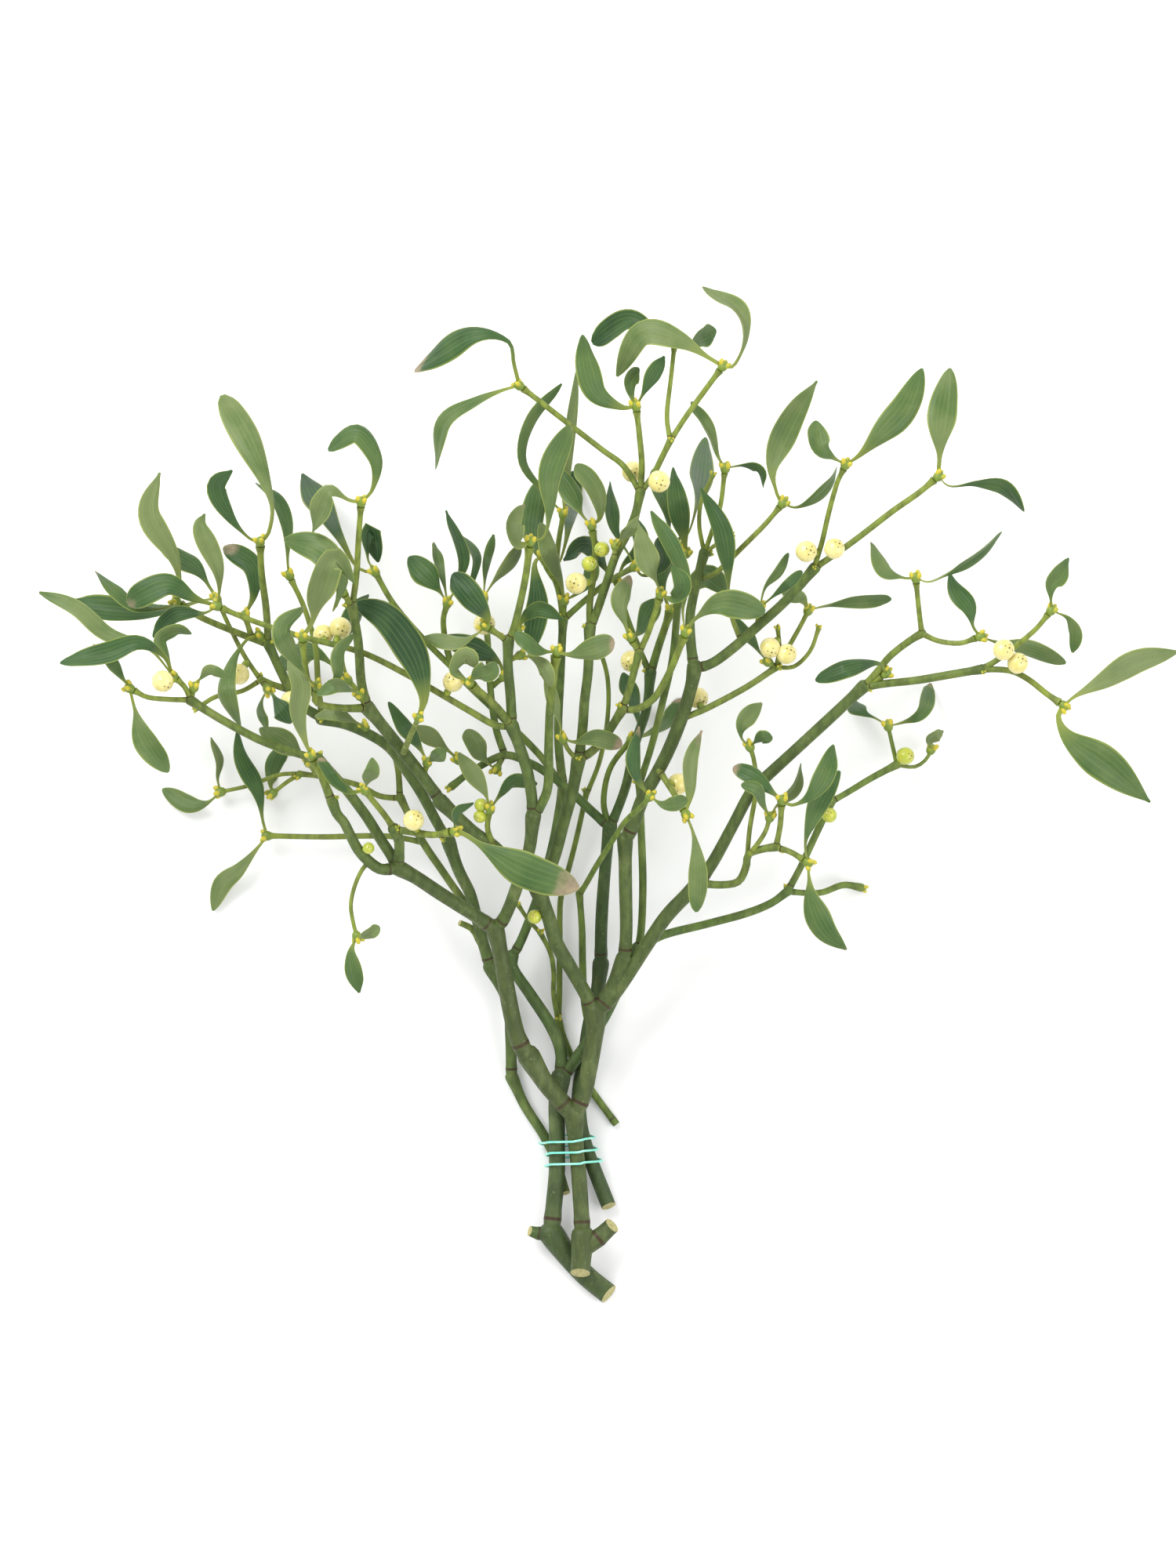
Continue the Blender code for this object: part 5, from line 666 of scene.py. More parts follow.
def leaf_samples(path, sides, width):
    """Points over a leaf's blade past its foot, with no radius of their own."""
    rows = []
    last = len(path) - 1
    for step in range(int(0.2 * last), last + 1):
        half = 0.5 * width * leaf_width(step / last)
        for across in (-0.9, -0.45, 0, 0.45, 0.9):
            rows.append((*(path[step] + sides[step] * half * across), 0.0))
    return rows


def place_leaves():
    """Each leaf's lift: the smallest that keeps it clear of stems, berries and the leaves placed before."""
    taken = np.array(stem_samples() + [berry for group in BERRIES.values() for berry in group])
    lifts = {}
    for shoot, (name, leaves) in LEAVES.items():
        for number, leaf in enumerate(leaves):
            width, roll, _ = leaf
            best = None
            for lift in LIFTS:
                path = leaf_path(shoot, leaf, lift, PLACING_ROWS)
                rows = np.array(leaf_samples(path, leaf_sides(path, roll), width))
                apart = np.linalg.norm(rows[:, None, :3] - taken[None, :, :3], axis=2) - taken[None, :, 3]
                clear = apart.min()
                if best is None or clear > best[0]:
                    best = (clear, lift, rows)
                if clear >= LEAF_CLEARANCE:
                    best = (clear, lift, rows)
                    break
            lifts[name, number] = best[1]
            taken = np.vstack([taken, best[2]])
    return lifts


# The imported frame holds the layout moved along: berry_left_1 tells by how much, in millimetres.
_LOW, _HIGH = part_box("berry_left_1")
SHIFT = (_LOW + _HIGH) / (2 * MM) - Vector(BERRIES["berry_left_1"][0][:3])

# ---------------------------------------------------------------- fine meshes

VALUES = ("across", "along", "under", "tone", "dry", "young", "node_gap")
LEAF_ROWS = 25  # points along a blade, and across it
LEAF_COLUMNS = 9
FINE_THICKNESS = 0.95  # of a blade at its middle
STEM_STEP = 1.9  # between the rings of a stem
STEM_SIDES = 12
CUT_SLANT = 0.42  # how far a cut face leans, as a share of its height


class Shape:
    """Points in layout millimetres, faces, material slots and per-point values of one piece."""

    def __init__(self):
        self.points = []
        self.faces = []
        self.slots = []
        self.values = {name: [] for name in VALUES}

    def add(self, points, faces, slot, **values):
        start = len(self.points)
        self.points.extend(points)
        self.faces.extend(tuple(start + corner for corner in face) for face in faces)
        self.slots.extend([slot] * len(faces))
        for name in VALUES:
            given = values.get(name, 0.0)
            self.values[name].extend(given if isinstance(given, list) else [given] * len(points))


def make_piece(name, shape, materials, replaced):
    """The shape as a smooth piece in the frame, riding the bunch's one body."""
    mesh = bpy.data.meshes.new(name)
    anchor = shape.points[0]
    mesh.from_pydata([(point - anchor) * MM for point in shape.points], [], shape.faces)
    for material in materials:
        mesh.materials.append(material)
    mesh.polygons.foreach_set("material_index", shape.slots)
    for value, column in shape.values.items():
        mesh.attributes.new(value, "FLOAT", "POINT").data.foreach_set("value", column)
    finish = bmesh.new()
    finish.from_mesh(mesh)
    bmesh.ops.recalc_face_normals(finish, faces=finish.faces)
    finish.to_mesh(mesh)
    finish.free()
    mesh.shade_smooth()
    mesh.set_sharp_from_angle(angle=math.radians(50))
    obj = bpy.data.objects.new(name, mesh)
    bpy.context.scene.collection.objects.link(obj)
    obj.location = (anchor + SHIFT) * MM
    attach(obj, "root")
    if replaced:
        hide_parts(replaced)
    return obj


def two_across(axis):
    """Two unit vectors square to the axis and to each other."""
    first = axis.orthogonal().normalized()
    return first, axis.cross(first)


def ease(value, low, high):
    """0 below low, 1 above high, and a smooth step between."""
    share = min(1.0, max(0.0, (value - low) / (high - low)))
    return share * share * (3 - 2 * share)


def fine_width(share, look):
    """The blade's width: a thin foot, widest where the leaf's look says, a blunt or pointed apex."""
    widest = look["widest"]
    foot = 0.15 + 0.85 * ease(share, look["foot"], widest)
    past = max(0.0, (share - widest) / (1.005 - widest))
    blunt = max(0.0, 1 - past**2.6) ** 0.55
    pointed = max(0.0, 1 - past**1.7) ** 1.05
    return foot * (blunt + (pointed - blunt) * look["point"])


def twisted_sides(path, roll, look):
    """As leaf_sides, with the foot turned further about the midrib and the apex turned back."""
    last = len(path) - 1
    sides = []
    for step, (before, after) in enumerate(zip([path[0]] + path[:-1], path[1:] + [path[-1]])):
        share = step / last
        along = (after - before).normalized()
        across = Vector((0, 0, 1)).cross(along).normalized()
        low = min(1.0, (path[step].z - FLOOR_GAP) / 4)
        turn = roll + look["foot_turn"] * (1 - ease(share, 0.05, 0.5))
        turn += look["tip_turn"] * ease(share, 0.65, 1.0)
        across.rotate(Quaternion(along, math.radians(turn) * low))
        sides.append(across)
    return sides


def add_blade(shape, path, sides, width, look):
    """A leaf: an upper and a lower grid that share their rim, cupped and a little wavy at the edge."""
    points = []
    across_values = []
    along_values = []
    under_values = []
    index = {}
    last = len(path) - 1
    middle = (LEAF_COLUMNS - 1) / 2
    for face_side in (1, -1):
        for row, (point, side) in enumerate(zip(path, sides)):
            share = row / last
            ahead = path[min(last, row + 1)] - path[max(0, row - 1)]
            normal = ahead.normalized().cross(side).normalized()
            half = max(0.45, 0.5 * width * fine_width(share, look))
            for column in range(LEAF_COLUMNS):
                u = column / middle - 1
                rim = row in (0, last) or column in (0, LEAF_COLUMNS - 1)
                if rim and face_side < 0:
                    index[-1, row, column] = index[1, row, column]
                    continue
                bow = look["cup"] * half * u * u * math.sin(math.pi * min(1, share * 1.1)) ** 0.5
                beat = math.sin(share * look["ripples"] + look["phase"] + u)
                ripple = look["wave"] * half * abs(u) ** 3 * beat
                keel = 0.12 * half * (1 - abs(u)) ** 4
                plump = math.sqrt(max(0, 1 - u * u)) * math.sin(math.pi * share) ** 0.35
                body = 0.5 * FINE_THICKNESS * plump
                height = bow + ripple - keel + face_side * (0 if rim else body)
                index[face_side, row, column] = len(points)
                points.append(point + side * half * u + normal * height)
                across_values.append(u)
                along_values.append(share)
                under_values.append(1.0 if face_side < 0 else 0.0)
    faces = []
    for face_side in (1, -1):
        for row in range(last):
            for column in range(LEAF_COLUMNS - 1):
                corners = [
                    index[face_side, row, column],
                    index[face_side, row, column + 1],
                    index[face_side, row + 1, column + 1],
                    index[face_side, row + 1, column],
                ]
                faces.append(corners[::-1] if face_side > 0 else corners)
    shape.add(
        points, faces, 0, across=across_values, along=along_values, under=under_values,
        tone=look["tone"], dry=look["dry"],
    )


def section_frames(path):
    """At each point of a path, two unit vectors across it that turn as little as they can."""
    frames = []
    first = None
    for before, after in zip([path[0]] + path[:-1], path[1:] + [path[-1]]):
        along = (after - before).normalized()
        if first is None:
            first = along.orthogonal().normalized()
        first = (first - along * first.dot(along)).normalized()
        frames.append((first, along.cross(first)))
    return frames


def add_tube(shape, path, radii, sides, slot, cap_slots, **values):
    """A closed round tube; a value given as a list holds one number for each point of the path."""
    points = []
    spread = {name: [] for name in values}
    last = len(path) - 1
    for row, (point, (across, up), radius) in enumerate(zip(path, section_frames(path), radii)):
        inward = Vector()
        if row == 0 and cap_slots[0]:
            inward = (path[1] - path[0]).normalized() * CUT_SLANT
        if row == last and cap_slots[1]:
            inward = (path[-2] - path[-1]).normalized() * CUT_SLANT
        for corner in range(sides):
            turn = 2 * math.pi * corner / sides
            out = (across * math.cos(turn) + up * math.sin(turn)) * radius
            points.append(point + out + inward * out.z)
        for name, given in values.items():
            spread[name] += [given[row] if isinstance(given, list) else given] * sides
    faces = []
    for row in range(len(path) - 1):
        for corner in range(sides):
            following = (corner + 1) % sides
            low = row * sides
            faces.append((low + corner, low + following, low + sides + following, low + sides + corner))
    shape.add(points, faces, slot, **spread)
    start = len(shape.points) - len(points)
    for row, cap in zip((0, len(path) - 1), cap_slots):
        ring = [start + row * sides + corner for corner in range(sides)]
        shape.faces.append(tuple(ring if row else ring[::-1]))
        shape.slots.append(cap)


def add_ball(shape, centre, axis, radius, length, segments, rings, slot, **values):
    """An egg of the given radius and length about its axis."""
    axis = axis.normalized()
    first, second = two_across(axis)
    points = [centre - axis * length]
    for ring in range(1, rings):
        polar = math.pi * ring / rings
        for segment in range(segments):
            turn = 2 * math.pi * segment / segments
            out = first * math.cos(turn) + second * math.sin(turn)
            points.append(centre - axis * length * math.cos(polar) + out * radius * math.sin(polar))
    points.append(centre + axis * length)
    top = len(points) - 1
    faces = []
    for segment in range(segments):
        following = (segment + 1) % segments
        faces.append((0, 1 + following, 1 + segment))
        for ring in range(rings - 2):
            low = 1 + ring * segments
            high = low + segments
            faces.append((low + segment, low + following, high + following, high + segment))
        low = 1 + (rings - 2) * segments
        faces.append((low + segment, low + following, top))
    shape.add(points, faces, slot, **values)

# ---------------------------------------------------------------- materials

class Sketch:
    """A new material's node tree, with short ways to add and link its nodes."""

    def __init__(self, name):
        self.material = bpy.data.materials.new(name)
        self.material.use_nodes = True
        self.tree = self.material.node_tree
        self.shader = self.tree.nodes["Principled BSDF"]

    def node(self, kind, output=0, inputs=None, **settings):
        made = self.tree.nodes.new(kind)
        for key, value in settings.items():
            setattr(made, key, value)
        for key, value in (inputs or {}).items():
            if isinstance(value, bpy.types.NodeSocket):
                self.tree.links.new(value, made.inputs[key])
            else:
                made.inputs[key].default_value = value
        return made.outputs[output]

    def value(self, name):
        return self.node("ShaderNodeAttribute", "Fac", attribute_name=name)

    def math(self, operation, *given):
        return self.node("ShaderNodeMath", inputs=dict(enumerate(given)), operation=operation)

    def mix(self, share, low, high):
        return self.node(
            "ShaderNodeMix", 2, {0: share, 6: low, 7: high}, data_type="RGBA"
        )

    def noise(self, scale, detail=3.0, stretch=(1, 1, 1)):
        place = self.node("ShaderNodeTexCoord", "Object")
        turned = self.node("ShaderNodeMapping", 0, {"Vector": place, "Scale": stretch})
        return self.node("ShaderNodeTexNoise", "Fac", {"Vector": turned, "Scale": scale, "Detail": detail})

    def ramp(self, share, stops):
        """A colour ramp through (place, grey or colour) stops."""
        made = self.tree.nodes.new("ShaderNodeValToRGB")
        self.tree.links.new(share, made.inputs[0])
        band = made.color_ramp
        while len(band.elements) < len(stops):
            band.elements.new(0.5)
        for element, (place, colour) in zip(band.elements, stops):
            element.position = place
            element.color = colour if isinstance(colour, tuple) else (colour, colour, colour, 1)
        return made.outputs[0]

    def range(self, value, low, high, to_low=0.0, to_high=1.0):
        return self.node(
            "ShaderNodeMapRange", 0, {0: value, 1: low, 2: high, 3: to_low, 4: to_high}, clamp=True
        )

    def bump(self, height, strength, distance):
        return self.node(
            "ShaderNodeBump", 0, {"Height": height, "Strength": strength, "Distance": distance}
        )

    def finish(self, **sockets):
        """Sets or links the shader's sockets, named with _ for each space."""
        for name, value in sockets.items():
            socket = self.shader.inputs[name.replace("_", " ")]
            if isinstance(value, bpy.types.NodeSocket):
                self.tree.links.new(value, socket)
            else:
                socket.default_value = value
        return self.material


def leaf_material():
    """Leathery leaf: patchy green, five pale veins, a yellow rim, a paler back and some dried tips."""
    sketch = Sketch("leaf")
    across = sketch.range(sketch.value("across"), -1, 1)
    along = sketch.value("along")
    patches = sketch.noise(70, 4)
    streaks = sketch.noise(300, 3, (1, 1, 0.4))
    tone = sketch.math("ADD", sketch.value("tone"), sketch.range(patches, 0.35, 0.65, -0.16, 0.16))
    green = sketch.ramp(tone, LEAF_TONES)
    back = sketch.ramp(tone, LEAF_BACK_TONES)
    veins = sketch.ramp(across, VEIN_STOPS)
    fading = sketch.range(along, 0.75, 1.0, 1.0, 0.15)
    vein_share = sketch.math("MULTIPLY", sketch.math("MULTIPLY", veins, fading), 0.15)
    veined = sketch.mix(vein_share, green, linear(140, 158, 92))
    veined_back = sketch.mix(vein_share, back, linear(178, 195, 140))
    faced = sketch.mix(sketch.value("under"), veined, veined_back)
    foot = sketch.mix(sketch.range(along, 0.3, 0.0, 0.0, 0.8), faced, linear(148, 156, 62))
    rim = sketch.ramp(across, RIM_STOPS)
    rimmed = sketch.mix(sketch.math("MULTIPLY", rim, 0.45), foot, linear(168, 172, 84))
    flecks = sketch.range(sketch.noise(900, 2), 0.68, 0.74, 0.0, 0.35)
    flecked = sketch.mix(flecks, rimmed, linear(70, 78, 52))
    edge = sketch.math("ADD", along, sketch.range(patches, 0.3, 0.7, -0.14, 0.14))
    start = sketch.math("SUBTRACT", 1.1, sketch.math("MULTIPLY", sketch.value("dry"), 0.6))
    dried = sketch.range(sketch.math("SUBTRACT", edge, start), 0.0, 0.1)
    tan = sketch.mix(streaks, linear(104, 92, 72), linear(160, 146, 118))
    colour = sketch.mix(dried, flecked, tan)
    relief = sketch.math("ADD", sketch.math("MULTIPLY", veins, 0.5), sketch.math("MULTIPLY", streaks, 0.35))
    return sketch.finish(
        Base_Color=colour,
        Roughness=sketch.range(patches, 0.3, 0.7, 0.36, 0.56),
        Normal=sketch.bump(relief, 0.35, 0.0004),
        Specular_IOR_Level=0.25,
        Subsurface_Weight=0.08,
        Subsurface_Radius=(0.6, 1.0, 0.3),
        Subsurface_Scale=0.001,
    )


def stem_material(name, old, middle, young):
    """Mottled bark, dark olive turning yellow-green towards the twigs, with a thin ring at each joint."""
    sketch = Sketch(name)
    patches = sketch.noise(80, 4)
    grain = sketch.noise(420, 4, (1, 0.3, 1))
    age = sketch.math("ADD", sketch.value("young"), sketch.range(patches, 0.3, 0.7, -0.12, 0.12))
    bark = sketch.ramp(age, [(0.0, old), (0.5, middle), (0.95, young)])
    mottled = sketch.mix(sketch.range(patches, 0.52, 0.7, 0.0, 0.3), bark, linear(122, 130, 84))
    shaded = sketch.mix(sketch.range(grain, 0.4, 0.62, 0.0, 0.45), mottled, linear(46, 58, 32))
    flecks = sketch.range(sketch.noise(900, 2), 0.66, 0.74, 0.0, 0.3)
    specks = sketch.mix(flecks, shaded, linear(150, 146, 104))
    gap = sketch.value("node_gap")
    line = sketch.range(sketch.math("ABSOLUTE", sketch.math("SUBTRACT", gap, RING_AT)), 0.1, 0.28, 1.0, 0.0)
    ring = sketch.math("MULTIPLY", line, sketch.range(patches, 0.3, 0.55, 0.35, 0.95))
    colour = sketch.mix(ring, specks, linear(58, 40, 26))
    relief = sketch.math("SUBTRACT", grain, sketch.math("MULTIPLY", ring, 0.9))
    return sketch.finish(
        Base_Color=colour,
        Roughness=sketch.range(grain, 0.3, 0.7, 0.42, 0.62),
        Normal=sketch.bump(relief, 0.35, 0.0004),
        Specular_IOR_Level=0.25,
    )


def cut_material():
    """The pale wood of a cut end, mottled with darker grain."""
    sketch = Sketch("cut_end")
    grain = sketch.noise(900, 4)
    colour = sketch.mix(sketch.range(grain, 0.35, 0.65), linear(178, 172, 116), linear(142, 134, 82))
    return sketch.finish(Base_Color=colour, Roughness=0.7, Normal=sketch.bump(grain, 0.5, 0.0004))


def bud_material():
    """A fleshy bud, green at its foot and bright yellow at the tips of its lobes."""
    sketch = Sketch("bud")
    patches = sketch.noise(380, 3)
    tips = sketch.math("ADD", sketch.value("along"), sketch.range(patches, 0.3, 0.7, -0.35, 0.35))
    colour = sketch.ramp(
        tips, [(0.0, linear(104, 126, 40)), (0.5, linear(146, 154, 42)), (1.2, linear(186, 174, 46))]
    )
    return sketch.finish(
        Base_Color=colour, Roughness=sketch.range(patches, 0.3, 0.7, 0.35, 0.55),
        Normal=sketch.bump(patches, 0.3, 0.0004),
    )


def berry_material(name, light, deep):
    """A waxy berry that light passes into, with faint mottling and a deeper yellow towards its far pole."""
    sketch = Sketch(name)
    mottle = sketch.noise(260, 4)
    fine = sketch.noise(1400, 2)
    along = sketch.value("along")
    toned = sketch.mix(sketch.range(mottle, 0.35, 0.65), light, deep)
    poles = sketch.mix(sketch.range(along, 0.82, 1.0, 0.0, 0.4), toned, linear(186, 176, 90))
    return sketch.finish(
        Base_Color=poles,
        Roughness=sketch.range(fine, 0.35, 0.65, 0.22, 0.34),
        Normal=sketch.bump(mottle, 0.05, 0.0002),
        Subsurface_Weight=0.5,
        Subsurface_Radius=(1.0, 0.9, 0.6),
        Subsurface_Scale=0.0025,
        Coat_Weight=0.25,
        Coat_Roughness=0.15,
    )


def dot_material():
    """The dark scar and dots at a berry's far pole."""
    sketch = Sketch("berry_dot")
    grain = sketch.noise(2500, 2)
    colour = sketch.mix(grain, linear(52, 40, 26), linear(96, 74, 44))
    return sketch.finish(Base_Color=colour, Roughness=0.6)


def wire_material():
    """Turquoise plastic skin over a wire, a little scuffed."""
    sketch = Sketch("wire_skin")
    scuffs = sketch.noise(600, 4, (0.3, 1, 0.3))
    colour = sketch.mix(sketch.range(scuffs, 0.4, 0.7), linear(104, 210, 186), linear(168, 228, 210))
    return sketch.finish(
        Base_Color=colour, Roughness=sketch.range(scuffs, 0.3, 0.7, 0.25, 0.45),
        Normal=sketch.bump(scuffs, 0.1, 0.0002), Coat_Weight=0.2,
    )

# ---------------------------------------------------------------- pieces

# Shoots whose start or end is a cut face, and those where the CAD has one stem run on as two shoots.
CUT_STARTS = ("b_foot", "a_foot", "c_trunk", "d_trunk")
CUT_ENDS = ("b_stub", "a_stub", "d_stub")
JOINLESS_STARTS = CUT_STARTS + ("b_trunk2",)
JOINLESS_ENDS = CUT_ENDS + ("b_trunk",)
OLD_RADIUS = 3.2  # a shoot this thick has wholly old bark
FORK_FLARE = 0.24  # how much a shoot swells at its end, as a share of its radius: at a fork,
LEAFY_FLARE = 0.55  # under a pair of leaves,
START_FLARE = 0.1  # and at the ring near its start
RING_AT = 1.9  # the ring's place and the flares' lengths, in radii from the shoot's end
RING_LENGTH = 0.6
FORK_LENGTH = 2.0
LEAFY_LENGTH = 1.5
RING_FAR = 9.0  # a node_gap at which no ring shows
STEM_TRIM = 0.97  # keeps the swollen tube inside the CAD's box
YOUNG_TIP = 0.45  # how much younger the bark is at a leafy tip, over the last YOUNG_LENGTH
YOUNG_LENGTH = 9
NEAR = 3.0  # a shoot that starts this close to another's end grows from it
BUD_SIZE = 1.95
LEAF_SPREAD = 1.08  # the blade's width over the layout's, because the fine outline is narrower


def fine_shoot(shape, name):
    """A shoot as a smooth tube that flares where it forks and has a ringed collar where it starts."""
    path = shoot_path(name)
    points = [point for point, _ in path]
    length = sum((b - a).length for a, b in zip(points, points[1:]))
    count = max(6, int(length / STEM_STEP))
    fine = smooth_path(points, count)
    rough = random.Random(name)
    phase = rough.uniform(0, 6.3)
    leafy = name in LEAVES
    flare, flare_length = (LEAFY_FLARE, LEAFY_LENGTH) if leafy else (FORK_FLARE, FORK_LENGTH)
    radii = []
    gaps = []
    young = []
    for share in np.linspace(0, 1, count):
        radius = path[0][1] + (path[-1][1] - path[0][1]) * share
        from_start = share * length / radius
        to_end = (1 - share) * length / radius
        swell = 1 + 0.015 * math.sin(share * length / 6 + phase)
        if name not in JOINLESS_ENDS:
            swell += flare * math.exp(-((to_end / flare_length) ** 2))
        if name not in JOINLESS_STARTS:
            swell += START_FLARE * math.exp(-(((from_start - RING_AT) / RING_LENGTH) ** 2))
        radii.append(radius * swell * STEM_TRIM)
        gaps.append(RING_FAR if name in JOINLESS_STARTS else from_start)
        tip = YOUNG_TIP * math.exp(-((1 - share) * length / YOUNG_LENGTH)) if leafy else 0.0
        young.append(min(1.3, max(0.0, (OLD_RADIUS - radius) / 2.4) + tip))
    cap_slots = (1 if name in CUT_STARTS else 0, 1 if name in CUT_ENDS else 0)
    tone = rough.random()
    add_tube(shape, fine, radii, STEM_SIDES, 0, cap_slots, young=young, node_gap=gaps, tone=tone)
    if name not in JOINLESS_ENDS and not leafy:
        round_off = (fine[-1] - fine[-2]).normalized()
        add_ball(
            shape, fine[-1], round_off, radii[-1] * 0.99, radii[-1] * 0.85, STEM_SIDES, 8, 0,
            young=young[-1], node_gap=RING_FAR, tone=tone,
        )


def add_lobes(shape, centre, along, size, slot, seed):
    """A fleshy bud: a core and three short blunt lobes about it."""
    rough = random.Random(seed)
    first, second = two_across(along)
    add_ball(shape, centre, along, size, size * 1.2, 10, 7, slot, along=0.0)
    for third in range(3):
        turn = third * 2.1 + rough.uniform(-0.35, 0.35)
        out = first * math.cos(turn) + second * math.sin(turn)
        lean = (along + out * rough.uniform(0.2, 0.7)).normalized()
        tip = centre + out * size * 0.5 + lean * size * 0.7
        add_ball(shape, tip, lean, size * 0.52, size * rough.uniform(0.7, 0.95), 8, 6, slot, along=1.0)


def add_bud(shape, shoot, slot):
    """The bud at a twig's tip, between the pair of leaves."""
    path = shoot_path(shoot)
    along = (path[-1][0] - path[-2][0]).normalized()
    add_lobes(shape, bud_centre(shoot), along, BUD_SIZE, slot, "bud " + shoot)


def leaf_look(name, number, back):
    """How one leaf differs from the rest: its greens, darker on the back pairs as painted shade, its dry
    tip, cupping, outline and twist.
    """
    rough = random.Random(f"{name} {number}")
    widest = rough.uniform(0.52, 0.72)  # drawn first, so that the other draws keep their order
    look = {
        # Leaves of the back pairs are 0.2 darker in tone: painted shade, as they lie behind and under the
        # rest of the bunch.
        "tone": rough.uniform(0.15, 0.95) - (0.2 if back else 0.0),
        "dry": rough.choice((0, 0, 0, 0, 0.15, 0.4)),
        "cup": rough.uniform(-0.35, 0.5),
        "wave": rough.uniform(0.0, 0.2),
        "ripples": rough.uniform(5, 11),
        "phase": rough.uniform(0, 6.3),
        "widest": widest,
        "foot": rough.uniform(0.02, 0.2),
        "point": rough.uniform(0.0, 1.0),
        "foot_turn": rough.uniform(-65, 65),
        "tip_turn": rough.uniform(-35, 35),
    }
    look.update(LOOKS.get((name, number), {}))
    return look


def fine_pair(shape, shoot, lifts, bud_slot):
    """The leaves at a shoot's tip with the bud between them."""
    name, leaves = LEAVES[shoot]
    add_bud(shape, shoot, bud_slot)
    for number, leaf in enumerate(leaves):
        width, roll, _ = leaf
        path = leaf_path(shoot, leaf, lifts[name, number], LEAF_ROWS)
        # The back pairs are passed on to be painted darker, as shade.
        look = leaf_look(name, number, name.startswith("back"))
        add_blade(shape, path, twisted_sides(path, roll, look), width * LEAF_SPREAD, look)


def add_stem_buds(shape, stem, slot):
    """A small bud on each twig that ends bare, and a side bud at most of the thinner forks."""
    starts = [shoot_path(name)[0][0] for name in SHOOTS]
    for name in SHOOTS:
        if SHOOTS[name][0] != stem or name in LEAVES or name in JOINLESS_ENDS:
            continue
        path = shoot_path(name)
        end, radius = path[-1]
        along = (end - path[-2][0]).normalized()
        rough = random.Random("side bud " + name)
        forks = any((end - start).length < NEAR for start in starts)
        if not forks:
            add_lobes(shape, end + along * 0.5, along, max(1.1, radius), slot, "tip bud " + name)
        elif radius < 2.6 and rough.random() < 0.75:
            first, second = two_across(along)
            out = first * math.cos(rough.uniform(0, 6.3)) + second * math.sin(rough.uniform(0, 6.3))
            out = (out + Vector((0, 0, 0.5))).normalized()
            size = rough.uniform(0.75, 1.15)
            centre = end + out * (radius * 1.15)
            add_lobes(shape, centre, (out + along).normalized(), size, slot, "fork bud " + name)


def make_pair(shoot, lifts, materials):
    """The leaves at a shoot's tip as one piece, in place of their node if they have one of their own."""
    name = LEAVES[shoot][0]
    grown = name in GROWN_ON
    shape = Shape()
    fine_pair(shape, shoot, lifts, 1)
    make_piece(
        ("grown_" if grown else "fine_leaves_") + name, shape, [materials["leaf"], materials["bud"]],
        None if grown else "leaves_" + name,
    )


def make_stems(lifts, materials):
    """Each stem as one piece with its side buds, then the leaves that the CAD has as part of it."""
    for stem in STEMS:
        shape = Shape()
        for name in SHOOTS:
            if SHOOTS[name][0] == stem:
                fine_shoot(shape, name)
        add_stem_buds(shape, stem, 2)
        make_piece("fine_" + stem, shape, [materials[stem], materials["cut"], materials["bud"]], stem)
        for shoot, (name, _) in LEAVES.items():
            if SHOOTS[shoot][0] == stem and name in GROWN_ON:
                make_pair(shoot, lifts, materials)


def make_leaves(lifts, materials):
    """The leaves that are nodes of their own."""
    for shoot, (name, _) in LEAVES.items():
        if name not in GROWN_ON:
            make_pair(shoot, lifts, materials)


def fine_berry(shape, centre, radius, seed, slot, dot_slot):
    """A berry, a little longer than wide, with the scar and four dots at its far pole."""
    rough = random.Random(seed)
    pole = Vector((rough.uniform(-0.6, 0.6), rough.uniform(-0.6, 0.6), rough.uniform(0.5, 1))).normalized()
    start = len(shape.points)
    add_ball(shape, centre, pole, radius * 0.98, radius * 1.02, 24, 16, slot)
    column = shape.values["along"]
    for number in range(start, len(shape.points)):
        column[number] = (shape.points[number] - centre).normalized().dot(pole)
    first, second = two_across(pole)
    add_ball(shape, centre + pole * radius * 1.0, pole, radius * 0.09, radius * 0.06, 8, 4, dot_slot)
    for quarter in range(4):
        turn = math.pi * (quarter / 2) + 0.4
        out = first * math.cos(turn) + second * math.sin(turn)
        at = (pole * math.cos(0.42) + out * math.sin(0.42)) * radius
        add_ball(shape, centre + at, at, radius * 0.065, radius * 0.045, 6, 4, dot_slot)


def add_seat(shape, centre, radius, samples, slot):
    """The little green cup between a berry and the nearest stem."""
    gaps = np.linalg.norm(samples[:, :3] - np.array(centre), axis=1) - samples[:, 3]
    nearest = samples[int(gaps.argmin())]
    towards = (Vector(nearest[:3]) - centre).normalized()
    reach = max(0.9, 0.5 * float(gaps.min() - radius) + 0.9)
    at = centre + towards * (radius + reach - 0.8)
    add_ball(shape, at, towards, min(1.5, radius * 0.42), reach, 10, 6, slot, along=0.2)


def make_berries(materials):
    """The ripe berries, in place of their nodes, then the unripe ones, which the CAD hasn't got."""
    samples = np.array(stem_samples())
    pieces = [("fine_" + name, name, 0, "berry", group, name) for name, group in BERRIES.items()]
    pieces += [
        (f"unripe_berry_{number + 1}", "unripe", number, "unripe", [berry], None)
        for number, berry in enumerate(UNRIPE_BERRIES)
    ]
    for piece, seed, first, skin, group, replaced in pieces:
        shape = Shape()
        for number, (x, y, z, radius) in enumerate(group, first):
            fine_berry(shape, Vector((x, y, z)), radius, f"{seed} {number}", 0, 1)
            add_seat(shape, Vector((x, y, z)), radius, samples, 2)
        make_piece(piece, shape, [materials[skin], materials["dot"], materials["bud"]], replaced)


def trunk_section(name, y):
    """Where a shoot crosses the given Y, as X, height and radius."""
    path = shoot_path(name)
    ys = [p.y for p, _ in path]
    return tuple(
        float(np.interp(y, ys, column))
        for column in ([p.x for p, _ in path], [p.z for p, _ in path], [r for _, r in path])
    )


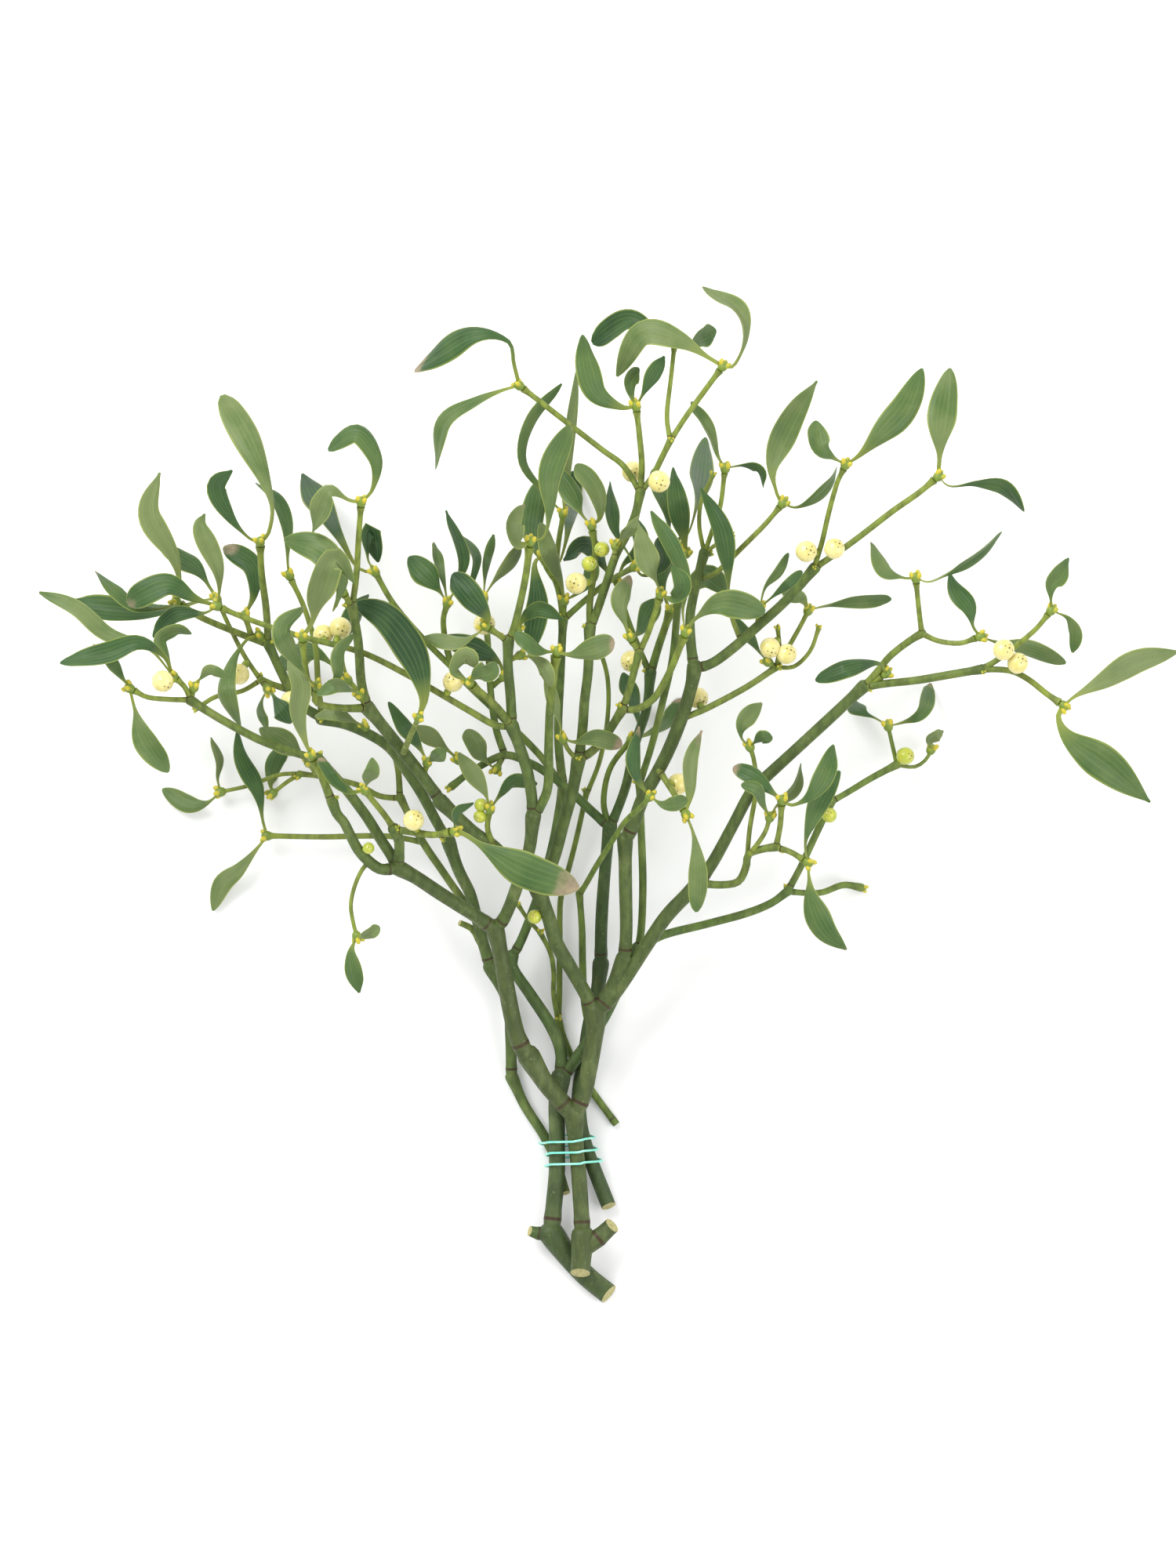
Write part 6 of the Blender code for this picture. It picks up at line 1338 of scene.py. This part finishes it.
def make_tie(materials):
    """The wire, wound taut: at each angle it lies on whichever stem reaches furthest out."""
    points = []
    total = WIRE_TURNS * WIRE_STEPS
    for step in range(total + 1):
        share = step / total
        y = WIRE_TOP + (WIRE_BOTTOM - WIRE_TOP) * share
        angle = -math.pi / 2 + 2 * math.pi * WIRE_TURNS * share
        out = Vector((math.cos(angle), math.sin(angle)))
        front = "b_trunk2" if y > TRUNK_JOINT else "b_trunk"
        reach = []
        for name in ("a_trunk", front, "c_trunk", "d_trunk"):
            x, z, radius = trunk_section(name, y)
            reach.append((Vector((x, z)).dot(out) + radius, x, z, radius))
        _, x, z, radius = max(reach)
        spread = radius + WIRE_GAP + WIRE_RADIUS + WIRE_SLACK
        points.append(Vector((x + out.x * spread, y, z + out.y * spread)))
    points = smooth_path(points[::3], WIRE_POINTS)
    shape = Shape()
    add_tube(shape, points, [WIRE_RADIUS] * len(points), WIRE_SIDES, 0, (0, 0))
    make_piece("fine_tie_wire", shape, [materials["wire"]], "tie_wire")

# ---------------------------------------------------------------- the stage

VIEW_CENTRE = Vector((4.5, 141, 60))  # in the layout's millimetres, as is the height of the view there
VIEW_HEIGHT = 600
VIEW_LENS = 360
SENSOR_HEIGHT = 36
FLOOR_SIZE = 30  # metres
LIGHTS = {  # place and size in metres, power in watts
    "key": ((-1.1, 1.3, 1.7), 1.2, 46),
    "fill": ((1.5, -0.4, 1.5), 1.4, 20),
}


def make_floor():
    """A plain pale floor under the bunch."""
    bpy.ops.mesh.primitive_plane_add(size=FLOOR_SIZE)
    floor = bpy.context.object
    floor.name = "floor"
    sketch = Sketch("floor_paint")
    cloud = sketch.noise(3, 2)
    colour = sketch.mix(cloud, (0.86, 0.86, 0.86, 1), (0.88, 0.88, 0.88, 1))
    floor.data.materials.append(sketch.finish(Base_Color=colour, Roughness=0.9))


def area_light(name, place, size, power):
    """A square light that faces the frame's origin."""
    data = bpy.data.lights.new(name, "AREA")
    data.shape = "SQUARE"
    data.size = size
    data.energy = power
    obj = bpy.data.objects.new(name, data)
    bpy.context.scene.collection.objects.link(obj)
    obj.location = place
    obj.rotation_euler = (-Vector(place)).to_track_quat("-Z", "Y").to_euler()


def make_lights():
    """Soft studio light from all round, with a key and a fill."""
    world = bpy.data.worlds.new("studio")
    world.use_nodes = True
    world.node_tree.nodes["Background"].inputs["Color"].default_value = (1, 1, 1, 1)
    world.node_tree.nodes["Background"].inputs["Strength"].default_value = 1.0
    bpy.context.scene.world = world
    for name, (place, size, power) in LIGHTS.items():
        area_light(name, place, size, power)


def make_camera():
    """Straight down on the bunch as it lies, through a long lens, with the photo's top at +Y."""
    data = bpy.data.cameras.new("camera")
    data.sensor_fit = "VERTICAL"
    data.sensor_height = SENSOR_HEIGHT
    data.lens = VIEW_LENS
    data.clip_end = 100
    camera = bpy.data.objects.new("camera", data)
    bpy.context.scene.collection.objects.link(camera)
    distance = VIEW_HEIGHT * VIEW_LENS / SENSOR_HEIGHT
    camera.location = (VIEW_CENTRE + SHIFT + Vector((0, 0, distance))) * MM
    bpy.context.scene.camera = camera


def main():
    """Makes every piece, then the stage."""
    lifts = place_leaves()
    materials = {
        "leaf": leaf_material(),
        "bud": bud_material(),
        "cut": cut_material(),
        "berry": berry_material("berry_skin", linear(222, 212, 150), linear(206, 194, 112)),
        "unripe": berry_material("unripe_skin", linear(186, 190, 66), linear(146, 166, 56)),
        "dot": dot_material(),
        "wire": wire_material(),
    }
    for stem, colours in STEMS.items():
        materials[stem] = stem_material(stem + "_bark", *(linear(*colour) for colour in colours))
    make_stems(lifts, materials)
    make_leaves(lifts, materials)
    make_berries(materials)
    make_tie(materials)
    make_floor()
    make_lights()
    make_camera()
    bpy.context.scene.view_settings.view_transform = "Standard"


main()
